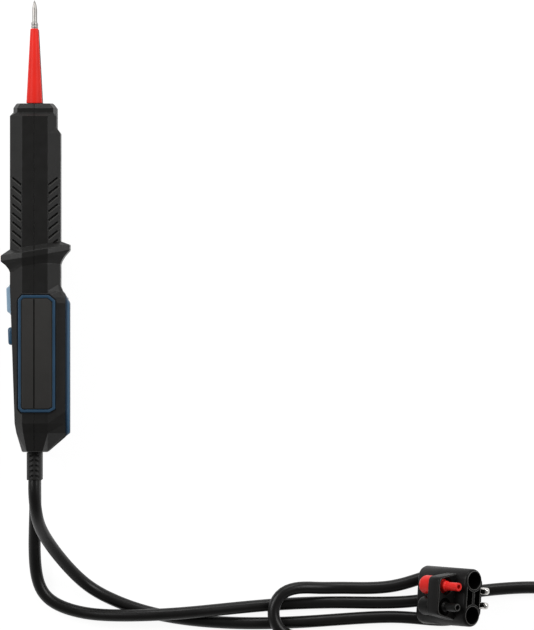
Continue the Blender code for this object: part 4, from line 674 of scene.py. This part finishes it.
def groove_bars(name, half_depth, matrix, offset, sides, ends, material):
    """Bars along the slanting grooves, offset in millimetres down from each groove's middle line.

    ends holds two of (share of the facet's width, lowest, highest), and sides two of (half width
    at the foot, half width at the top).
    """
    shape = bmesh.new()
    for (x0, z0), (x1, z1) in grip_facets(half_depth):
        across = Vector((x1 - x0, 0, z1 - z0))
        width = across.length
        across.normalize()
        out = Vector((across.z, 0, -across.x)) * (1 if across.z * x0 > 0 else -1)
        run = (across * math.cos(GROOVE_SLOPE) - Vector((0, 1, 0)) * math.sin(GROOVE_SLOPE)).normalized()
        down = out.cross(run).normalized()
        down *= -1 if down.y > 0 else 1
        middle = Vector(((x0 + x1) / 2, 0, (z0 + z1) / 2))
        for i in range(GROOVES):
            start = middle + Vector((0, GROOVE_TOP - i * GROOVE_PITCH, 0)) + down * offset
            corners = []
            for (along, low, high), (foot, top) in zip(ends, sides):
                for sink, side in ((low, -foot), (high, -top), (high, top), (low, foot)):
                    corners.append(shape.verts.new(start + run * (along * width) + out * sink + down * side))
            for a in range(4):
                b = (a + 1) % 4
                shape.faces.new((corners[a], corners[b], corners[b + 4], corners[a + 4]))
            shape.faces.new(corners[:4])
            shape.faces.new(corners[4:])
    bmesh.ops.scale(shape, vec=(MM, MM, MM), verts=shape.verts)
    dress_trim(mesh_object(name, shape, matrix), material)


def make_grooves(handle, half_depth, matrix):
    """Filled outer end of each slanting groove, a dark bar in its floor and a dark dot, both painted shade,
    and the raised rib below it, lighter as a painted highlight.
    """
    for word, offset, side, ends, material in (
        ("groove_ends", 0.0, (0.58, 0.56), ((-0.53, -0.6, 0.02), (-0.34, -0.6, 0.02)), SHELL),
        # Groove floors and dots are painted shade.
        ("groove_floors", 0.0, (0.3, 0.22), ((-0.3, -0.6, -0.1), (0.55, -0.6, -0.06)), SEAM_AND_SHADE_BLACK),
        ("groove_dots", 0.0, (0.46, 0.46), ((-0.35, -0.6, 0.05), (-0.26, -0.6, 0.05)), SEAM_AND_SHADE_BLACK),
        # The ribs' lighter grey is a painted highlight.
        ("grip_ribs", 0.95, (0.35, 0.2), ((-0.42, -0.3, 0.1), (0.6, -0.3, 0.42)), RIB_HIGHLIGHT),
    ):
        groove_bars(f"{handle}_{word}", half_depth, matrix, offset, (side, side), ends, material)


def make_screw(node, matrix, tip, top, below, shank, head, tall):
    """Pan-head screw along +X with a cross recess; its head's seat is below the node's top."""
    seat = top - below
    profile = filleted(scaled([
        (0, tip), (shank * 0.5, tip + 0.2), (shank, tip + shank * 1.5), (shank, seat), (head, seat),
        (head, seat + tall, tall * 0.8), (0, seat + tall),
    ]), closed=False)
    screw = mesh_object(f"{node}_body", turned(profile, 40), matrix @ along_x)
    wide, thin = 0.55 * head * MM, 0.14 * head * MM
    low, high = (seat + tall * 0.3) * MM, (seat + tall + 0.5) * MM
    corners = ((-thin, -wide), (thin, -wide), (thin, wide), (-thin, wide))
    arms = []
    for turn in (0, 90):
        bar = skin([[(x, y, z) for x, z in corners] for y in (low, high)])
        place = matrix @ along_x @ Matrix.Rotation(math.radians(turn), 4, "Y")
        arms.append(mesh_object("recess_tool", bar, place))
    carve(screw, arms)
    return dress(screw, ZINC, node, angle=math.radians(40))


def make_screws():
    """Every housing screw in its counterbore, and the cover's own."""
    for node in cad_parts:
        if "screw" not in node:
            continue
        low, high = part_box(node)
        middle = (Vector(low) + Vector(high)) / 2
        place = Matrix.Translation((HANDLE_X, middle.y, middle.z))
        tip, top = (low[0] - HANDLE_X) / MM, (high[0] - HANDLE_X) / MM
        make_screw(node, place, tip, top, *(COVER_SCREW if node == "cover_screw" else HOUSING_SCREW))


def front_frame(matrix, height, side=0.0):
    """Frame on the sloping front wall, with -X out of it."""
    front = FRONT_DEPTH + FRONT_RISE * (height - FRONT_START) / FRONT_RUN
    place = Matrix.Translation((-front * MM, height * MM, side * MM))
    return matrix @ place @ Matrix.Rotation(FRONT_SLOPE, 4, "Z")


def make_lamps():
    """Milky round lenses, flush with the front wall, and the bar behind them."""
    profile = scaled([(0, -1.0), (1.5, -1.0), (1.5, -0.35), (1.3, -0.08), (0.8, 0.04), (0, 0.08)])
    shapes = []
    for i in range(LAMPS):
        place = Matrix.Translation((0, (i - LAMPS // 2) * LAMP_PITCH * MM, 0))
        dome = turned(profile, 28)
        dome.transform(place @ Matrix.Rotation(math.radians(90), 4, "Z"))
        shapes.append(dome)
    corners = ((-15.0, -2.0), (15.0, -2.0), (15.0, 2.0), (-15.0, 2.0))
    shapes.append(skin([[(x * MM, y * MM, z * MM) for y, z in corners] for x in (2.6, 1.7)]))
    place = front_frame(display_frame, LAMP_BAR_HEIGHT, LAMP_BAR_SIDE)
    lamps = mesh_object("lamp_lenses", joined(shapes), place)
    return dress(lamps, LAMP_MILKY, "lamp_lens_bar")


def key_outline(half_y, half_z, corner):
    """Rounded rectangle of a key, as (y, z) points."""
    corners = ((-half_y, -half_z), (half_y, -half_z), (half_y, half_z), (-half_y, half_z))
    return filleted([(y, z, corner) for y, z in corners], steps=6)


def make_button(node, matrix, half_y, half_z, levels, material):
    """Moulded key: (out, end inset, side inset, corner) levels, then its hidden flange."""
    rings = []
    for x, end, side, corner in levels:
        rings.append([(-x * MM, y * MM, z * MM) for y, z in key_outline(half_y - end, half_z - side, corner)])
    for x, grow in ((2.3, 0.0), (2.3, 1.2), (3.3, 1.2)):
        rings.append([(x * MM, y * MM, z * MM) for y, z in key_outline(half_y + grow, half_z + grow, 2.2)])
    key = mesh_object(f"{node}_key", skin(rings), matrix)
    return dress(key, material, node, body=node, angle=math.radians(28))


PROBE_KEY = (
    (2.3, 2.6, 2.2, 1.4), (2.25, 2.25, 1.9, 1.5), (2.05, 1.85, 1.5, 1.7), (1.0, 1.1, 0.6, 2.0),
    (0.5, 0.6, 0.25, 2.1), (0.2, 0.0, 0.0, 2.2), (0.0, 0.0, 0.0, 2.2),
)
FUNCTION_KEY = (
    (2.2, 1.5, 1.5, 2.0), (2.16, 1.1, 1.1, 2.1), (2.0, 0.7, 0.7, 2.2), (1.7, 0.35, 0.35, 2.2),
    (1.2, 0.1, 0.1, 2.2), (0.6, 0.0, 0.0, 2.2), (0.0, 0.0, 0.0, 2.2),
)


# Tip protector and what it carries

def stadium(length, radius, steps=20):
    """Outline of two half circles, length apart, joined by straight sides."""
    points = []
    for side in (1, -1):
        for step in range(steps + 1):
            angle = math.pi * step / steps - math.pi / 2
            points.append((side * (length / 2 + radius * math.cos(angle)), side * radius * math.sin(angle)))
    return points


def block_rod(y, z, profile):
    """Helper solid of revolution along the block's tubes."""
    place = Matrix.Translation((0, y * MM, z * MM)) @ along_x
    return mesh_object("bore_tool", turned(scaled(profile), 48), block_frame @ place)


def ear_form(out, shift=0.0):
    """Ear with its rounded edges, standing out of one flat side of the block."""
    root, tip, reach = 28.6, 22.0, 19.9
    outline = [
        (-root / 2, out * 3.0), (root / 2, out * 3.0),
        (tip / 2, out * reach, 3.2), (-tip / 2, out * reach, 3.2),
    ]
    rings = []
    for x, inward in (
        (23.0, 0.8), (23.15, 0.35), (23.5, 0.1), (23.9, 0.0),
        (31.4, 0.0), (31.8, 0.1), (32.15, 0.35), (32.3, 0.8),
    ):
        scale_y = 1 - 2 * inward / root
        points = [(y * scale_y, z - out * inward, *corner) for y, z, *corner in outline]
        rings.append([((x + shift) * MM, y * MM, z * MM) for y, z in filleted(points, steps=6)])
    return mesh_object("ear_tool", skin(rings), block_frame)


def pocket_outline(heights, outward=0.0):
    """Hollow between the two tubes on the +Z side, as (y, z) points at the given heights."""
    edge = [(TUBE_REACH - math.sqrt(TUBE_RADIUS**2 - z**2) + outward, z) for z in heights]
    return edge + [(-y, z) for y, z in reversed(edge)]


def make_protector():
    """Double tube with two ears, two bores and a webbed hollow between them."""
    levels = []
    for x, inward in (
        (0.0, 2.2), (0.25, 1.25), (0.9, 0.45), (2.0, 0.0),
        (39.6, 0.0), (40.5, 0.3), (41.15, 0.9), (41.4, 1.7),
    ):
        outline = stadium(2 * TUBE_REACH, TUBE_RADIUS - inward)
        levels.append([(x * MM, y * MM, z * MM) for y, z in outline])
    body = mesh_object("protector_body", skin(levels), block_frame)
    carve(body, [ear_form(1), ear_form(-1, REAR_EAR_SHIFT)], "UNION")
    tube = [(0, 2.0), (5.05, 2.0), (5.05, 41.1), (5.35, 41.4), (5.35, 50), (0, 50)]
    front = [
        (0, 22.7), (4.45, 22.7), (4.45, 29.6), (4.95, 30.1),
        (4.95, 31.9), (5.25, 32.35), (5.25, 33), (0, 33),
    ]
    rear = [(0, 18.7), (2.3, 18.7), (2.3, 28.6), (0, 28.6)]
    outline = pocket_outline((0.9, 2.3, 3.7, 5.05))
    bores = []
    for side in (1, -1):
        bores.append(block_rod(side * TUBE_REACH, 0.0, tube))
        bores.append(block_rod(side * CAP_REACH, CAP_HEIGHT, front))
        bores.append(block_rod(side * ADAPTER_REACH, ADAPTER_HEIGHT, rear))
        pocket = skin([[(x * MM, y * MM, side * z * MM) for y, z in outline] for x in (29.4, 53.4)])
        bores.append(mesh_object("pocket_tool", pocket, block_frame))
    carve(body, bores)
    return dress(body, BLOCK, "tip_protector")


def bead(name, path, height, radius, material):
    """Thin closed bead on the block along a (y, z) path, at a height along the tubes."""
    rings = []
    for i, (y, z) in enumerate(path):
        before = Vector(path[i - 1])
        after = Vector(path[(i + 1) % len(path)])
        along = (after - before).normalized()
        ring = []
        for step in range(8):
            angle = math.tau * step / 8
            side, up = radius * math.cos(angle), radius * math.sin(angle)
            ring.append(((height + up) * MM, (y + along.y * side) * MM, (z - along.x * side) * MM))
        rings.append(ring)
    line = mesh_object(name, skin(rings, closed=True), block_frame)
    smooth(line, math.radians(60))
    return dress_trim(line, material)


def circle(y, z, radius, steps=40):
    """Circle round (y, z), as points."""
    angles = [math.tau * i / steps for i in range(steps)]
    return [(y + radius * math.cos(a), z + radius * math.sin(a)) for a in angles]


def make_beads():
    """Light beads that paint highlights on the edges of the block's two mouths and two pockets, its front ear
    and the black cap's end.
    """
    mouth_height, cap_end, ear_face = 41.32, 42.62, 32.25
    pocket = pocket_outline((0.75, 2.3, 3.8, 5.25), 0.2)
    lines = []
    for side, word in ((1, "upper"), (-1, "lower")):
        mouth = circle(side * TUBE_REACH, 0, 5.45)
        lines.append(bead(f"{word}_mouth_edge", mouth, mouth_height, 0.2, HIGHLIGHT_GREY))
        edge = [(y, side * z) for y, z in pocket]
        lines.append(bead(f"{word}_pocket_edge", edge, mouth_height, 0.16, HIGHLIGHT_GREY))
    lines.append(bead("black_cap_edge", circle(-CAP_REACH, CAP_HEIGHT, 1.85), cap_end, 0.24, HIGHLIGHT_GREY))
    root, tip, reach = 13.6, 10.3, 19.2
    rim = filleted([(-root, 4.0), (root, 4.0), (tip, reach, 3.0), (-tip, reach, 3.0)], steps=8)
    lines.append(bead("ear_edge", rim, ear_face, 0.14, HIGHLIGHT_GREY))
    return lines


def make_cap(node, y, material):
    """Push-on tip cap: a domed butt, a collar in its round seat and a bored tube."""
    profile = filleted(scaled([
        (1.2, 13.9), (4.6, 13.9, 1.0), (5.5, 15.6, 1.6), (5.5, 22.7, 0.3), (4.15, 22.7), (4.15, 29.4, 0.3),
        (3.2, 29.9, 0.2), (3.1, 32.6, 0.3), (2.45, 33.6, 0.4), (2.45, 42.7, 0.35), (1.2, 42.7, 0.2),
    ]))
    place = Matrix.Translation((0, y * MM, CAP_HEIGHT * MM)) @ along_x
    cap = mesh_object(f"{node}_body", turned(profile, bored=True), block_frame @ place)
    return dress(cap, material, node, angle=math.radians(50))


def make_adapter(node, y):
    """Bright 4 mm contact pin with a round nose."""
    profile = filleted(scaled([
        (0, 16.9), (3.2, 16.9, 0.4), (3.2, 18.7, 0.2), (2.0, 18.7), (2.0, 34.6, 0.1), (1.85, 34.75),
        (1.85, 35.2), (2.0, 35.35, 0.1), (2.0, 38.9, 0.9), (1.0, 39.75, 0.8), (0, 39.9),
    ]), closed=False)
    place = Matrix.Translation((0, y * MM, ADAPTER_HEIGHT * MM)) @ along_x
    pin = mesh_object(f"{node}_pin", turned(profile), block_frame @ place)
    return dress(pin, BRIGHT, node, angle=math.radians(50))


# Cord

def smooth_line(points, spacing):
    """Natural cubic spline through points, read at even steps."""
    points = np.array(points)
    steps = np.sqrt(np.linalg.norm(np.diff(points, axis=0), axis=1))
    knots = np.concatenate([[0], np.cumsum(steps)])
    count = len(knots)
    matrix = np.eye(count)
    right = np.zeros((count, 3))
    for i in range(1, count - 1):
        matrix[i, i - 1 : i + 2] = steps[i - 1], 2 * (steps[i - 1] + steps[i]), steps[i]
        after = (points[i + 1] - points[i]) / steps[i]
        before = (points[i] - points[i - 1]) / steps[i - 1]
        right[i] = 6 * (after - before)
    bend = np.linalg.solve(matrix, right)
    samples = np.linspace(0, knots[-1], 8000)
    left = np.clip(np.searchsorted(knots, samples) - 1, 0, count - 2)
    step = steps[left][:, None]
    to_end = knots[left + 1][:, None] - samples[:, None]
    from_start = samples[:, None] - knots[left][:, None]
    line = (bend[left] * to_end**3 + bend[left + 1] * from_start**3) / (6 * step)
    line += (points[left] / step - bend[left] * step / 6) * to_end
    line += (points[left + 1] / step - bend[left + 1] * step / 6) * from_start
    run = np.concatenate([[0], np.cumsum(np.linalg.norm(np.diff(line, axis=0), axis=1))])
    wanted = np.linspace(0, run[-1], round(run[-1] / spacing) + 1)
    return np.column_stack([np.interp(wanted, run, line[:, i]) for i in range(3)])


def make_cord():
    """One cord from the display handle's relief to the probe handle's."""
    route = [(0.0, CORD_START, DISPLAY_Z / MM), *CORD_ROUTE, (0.0, CORD_START, PROBE_Z / MM)]
    line = smooth_line(np.array(route) * MM, CORD_STEP)
    line[:, 2] = np.maximum(line[:, 2], CORD_DIAMETER / 2)
    line += (HANDLE_X, HANDLE_Y, 0)
    curve = bpy.data.curves.new("cord_line", "CURVE")
    curve.dimensions = "3D"
    curve.bevel_depth = CORD_DIAMETER / 2
    curve.bevel_resolution = 8
    curve.use_fill_caps = True
    spline = curve.splines.new("POLY")
    spline.points.add(len(line) - 1)
    for point, place in zip(spline.points, line):
        point.co = (*place, 1.0)
    spline.use_smooth = True
    curve.materials.append(CORD)
    cord = bpy.data.objects.new("cord_run", curve)
    bpy.context.scene.collection.objects.link(cord)
    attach(cord, "root")
    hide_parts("cord")
    length = float(np.linalg.norm(np.diff(line, axis=0), axis=1).sum())
    return cord, tuple(line[0]), length


# Camera, stage and light

def add_camera():
    """Long lens straight above, framed as the photograph is."""
    data = bpy.data.cameras.new("photo_camera")
    data.lens = LENS
    data.sensor_width = SENSOR
    data.clip_end = 500
    camera = bpy.data.objects.new("photo_camera", data)
    distance = PHOTO_HEIGHT * PIXEL * LENS / SENSOR
    camera.location = (VIEW_X, VIEW_Y, VIEW_Z + distance)
    bpy.context.scene.collection.objects.link(camera)
    bpy.context.scene.camera = camera


def glow_material(name, glow, shade):
    """White where the camera, gloss or glass sees it, keeping its shadow, and pale for diffuse light."""
    material, tree, shader, _ = new_material(name)
    tree.nodes.remove(shader)
    paths = tree.nodes.new("ShaderNodeLightPath").outputs
    seen = tree.nodes.new("ShaderNodeMath")
    seen.operation = "MAXIMUM"
    tree.links.new(paths["Is Camera Ray"], seen.inputs[0])
    tree.links.new(paths["Is Glossy Ray"], seen.inputs[1])
    any_seen = tree.nodes.new("ShaderNodeMath")
    any_seen.operation = "MAXIMUM"
    tree.links.new(seen.outputs["Value"], any_seen.inputs[0])
    tree.links.new(paths["Is Transmission Ray"], any_seen.inputs[1])
    emission = tree.nodes.new("ShaderNodeEmission")
    emission.inputs["Strength"].default_value = glow
    shaded = tree.nodes.new("ShaderNodeBsdfDiffuse")
    shaded.inputs["Color"].default_value = (shade, shade, shade, 1.0)
    white = tree.nodes.new("ShaderNodeAddShader")
    tree.links.new(emission.outputs["Emission"], white.inputs[0])
    tree.links.new(shaded.outputs["BSDF"], white.inputs[1])
    plain = tree.nodes.new("ShaderNodeBsdfDiffuse")
    plain.inputs["Color"].default_value = (0.8, 0.8, 0.8, 1.0)
    mix = tree.nodes.new("ShaderNodeMixShader")
    tree.links.new(any_seen.outputs["Value"], mix.inputs["Fac"])
    tree.links.new(plain.outputs["BSDF"], mix.inputs[1])
    tree.links.new(white.outputs["Shader"], mix.inputs[2])
    tree.links.new(mix.outputs["Shader"], tree.nodes["Material Output"].inputs["Surface"])
    return material


def add_stage():
    """Pale floor and a round wall that glows inwards and lets a camera outside look through."""
    shape = bmesh.new()
    bmesh.ops.create_grid(shape, x_segments=1, y_segments=1, size=FLOOR_SIZE / 2)
    floor = mesh_object("floor", shape, Matrix())
    floor.data.materials.append(glow_material("floor_white", FLOOR_GLOW, FLOOR_SHADE))
    shape = bmesh.new()
    bmesh.ops.create_cone(
        shape, cap_ends=False, segments=96, radius1=WALL_RADIUS, radius2=WALL_RADIUS, depth=WALL_HEIGHT,
    )
    wall = mesh_object("backdrop", shape, Matrix.Translation((0, 0, WALL_HEIGHT / 2 - WALL_SINK)))
    material, tree, shader, _ = new_material("backdrop_white")
    tree.nodes.remove(shader)
    glow = tree.nodes.new("ShaderNodeEmission")
    glow.inputs["Strength"].default_value = WALL_GLOW
    open_side = tree.nodes.new("ShaderNodeBsdfTransparent")
    inside = tree.nodes.new("ShaderNodeNewGeometry").outputs["Backfacing"]
    mix = tree.nodes.new("ShaderNodeMixShader")
    tree.links.new(inside, mix.inputs["Fac"])
    tree.links.new(open_side.outputs["BSDF"], mix.inputs[1])
    tree.links.new(glow.outputs["Emission"], mix.inputs[2])
    tree.links.new(mix.outputs["Shader"], tree.nodes["Material Output"].inputs["Surface"])
    wall.data.materials.append(material)


def add_lamp(name, azimuth, height, distance, size, power):
    """Soft box aimed at the handles; azimuth 0 is +X and 90 is +Y, in degrees."""
    data = bpy.data.lights.new(name, "AREA")
    data.shape = "RECTANGLE"
    data.size = size[0]
    data.size_y = size[1]
    data.energy = power
    lamp = bpy.data.objects.new(name, data)
    around = math.radians(azimuth)
    up = math.radians(height)
    target = Vector(LAMP_TARGET)
    away = Vector((math.cos(around) * math.cos(up), math.sin(around) * math.cos(up), math.sin(up)))
    lamp.location = target + away * distance
    lamp.visible_camera = False
    lamp.rotation_mode = "QUATERNION"
    lamp.rotation_quaternion = away.to_track_quat("Z", "Y")
    bpy.context.scene.collection.objects.link(lamp)


def add_world():
    """Even white light from all round."""
    world = bpy.data.worlds.new("studio")
    world.use_nodes = True
    background = world.node_tree.nodes["Background"]
    background.inputs["Color"].default_value = (1, 1, 1, 1)
    background.inputs["Strength"].default_value = SKY
    bpy.context.scene.world = world


def build():
    """Every piece of the object."""
    make_sleeve("display", display_frame, RED)
    make_sleeve("probe", probe_frame, CAP_BLACK)
    display_half = DISPLAY_DEPTH / 2 / MM
    probe_half = PROBE_DEPTH / 2 / MM
    inner = inset(list(PAD_OUTLINE), PAD_INSET)
    for handle, matrix, half, out in (
        ("display", display_frame, display_half, 1), ("probe", probe_frame, probe_half, -1),
    ):
        make_rod(handle, matrix)
        make_relief(handle, matrix)
        make_rim(f"{handle}_side_rim", half, out, matrix)
        make_pad(f"{handle}_side_pad", inner, half, out, matrix)
        make_pad(f"{handle}_dock_pad", list(PAD_OUTLINE), half, -out, matrix)
    make_seam("display", display_half, DISPLAY_GRIP, DISPLAY_CAP, display_frame)
    make_seam("probe", probe_half, PROBE_GRIP, PROBE_CAP, probe_frame)
    make_grooves("display", DISPLAY_GRIP, display_frame)
    make_grooves("probe", PROBE_GRIP, probe_frame)
    make_lamps()
    make_cover()
    make_screws()
    for node, matrix, height, half_y, half_z, levels, material in (
        ("display_button", display_frame, BUTTON_HEIGHT, 8.9, 8.0, PROBE_KEY, PALE_KEY_PARTLY_HIGHLIGHT),
        ("probe_button", probe_frame, BUTTON_HEIGHT, 8.9, 6.0, PROBE_KEY, PALE_KEY_PARTLY_HIGHLIGHT),
        ("function_button", display_frame, FUNCTION_HEIGHT, 5.2, 5.0, FUNCTION_KEY, BLUE_KEY),
    ):
        make_button(node, front_frame(matrix, height), half_y, half_z, levels, material)
    carried = [
        make_protector(),
        make_cap("red_tip_cap", CAP_REACH, CAP_RED),
        make_cap("black_tip_cap", -CAP_REACH, CAP_BLACK),
        make_adapter("adapter_1", ADAPTER_REACH),
        make_adapter("adapter_2", -ADAPTER_REACH),
        *make_beads(),
    ]
    cord, start, length = make_cord()
    finishes = {
        "_shell": SHELL, "_window": CLEAR, "torch_lens": LAMP_CLEAR, "_board": board_laminate(),
        "lcd_module": display_glass(), "battery_1": JACKET, "battery_2": JACKET, "contact": BRIGHT,
        "motor": BRIGHT, "buzzer": DARK_PART, "_switch": DARK_PART,
    }
    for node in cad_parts:
        for word, material in finishes.items():
            if word in node:
                repaint(node, material)


build()
add_camera()
add_stage()
add_world()
for box in SOFT_BOXES:
    add_lamp(*box)
bpy.context.scene.view_settings.view_transform = "Standard"
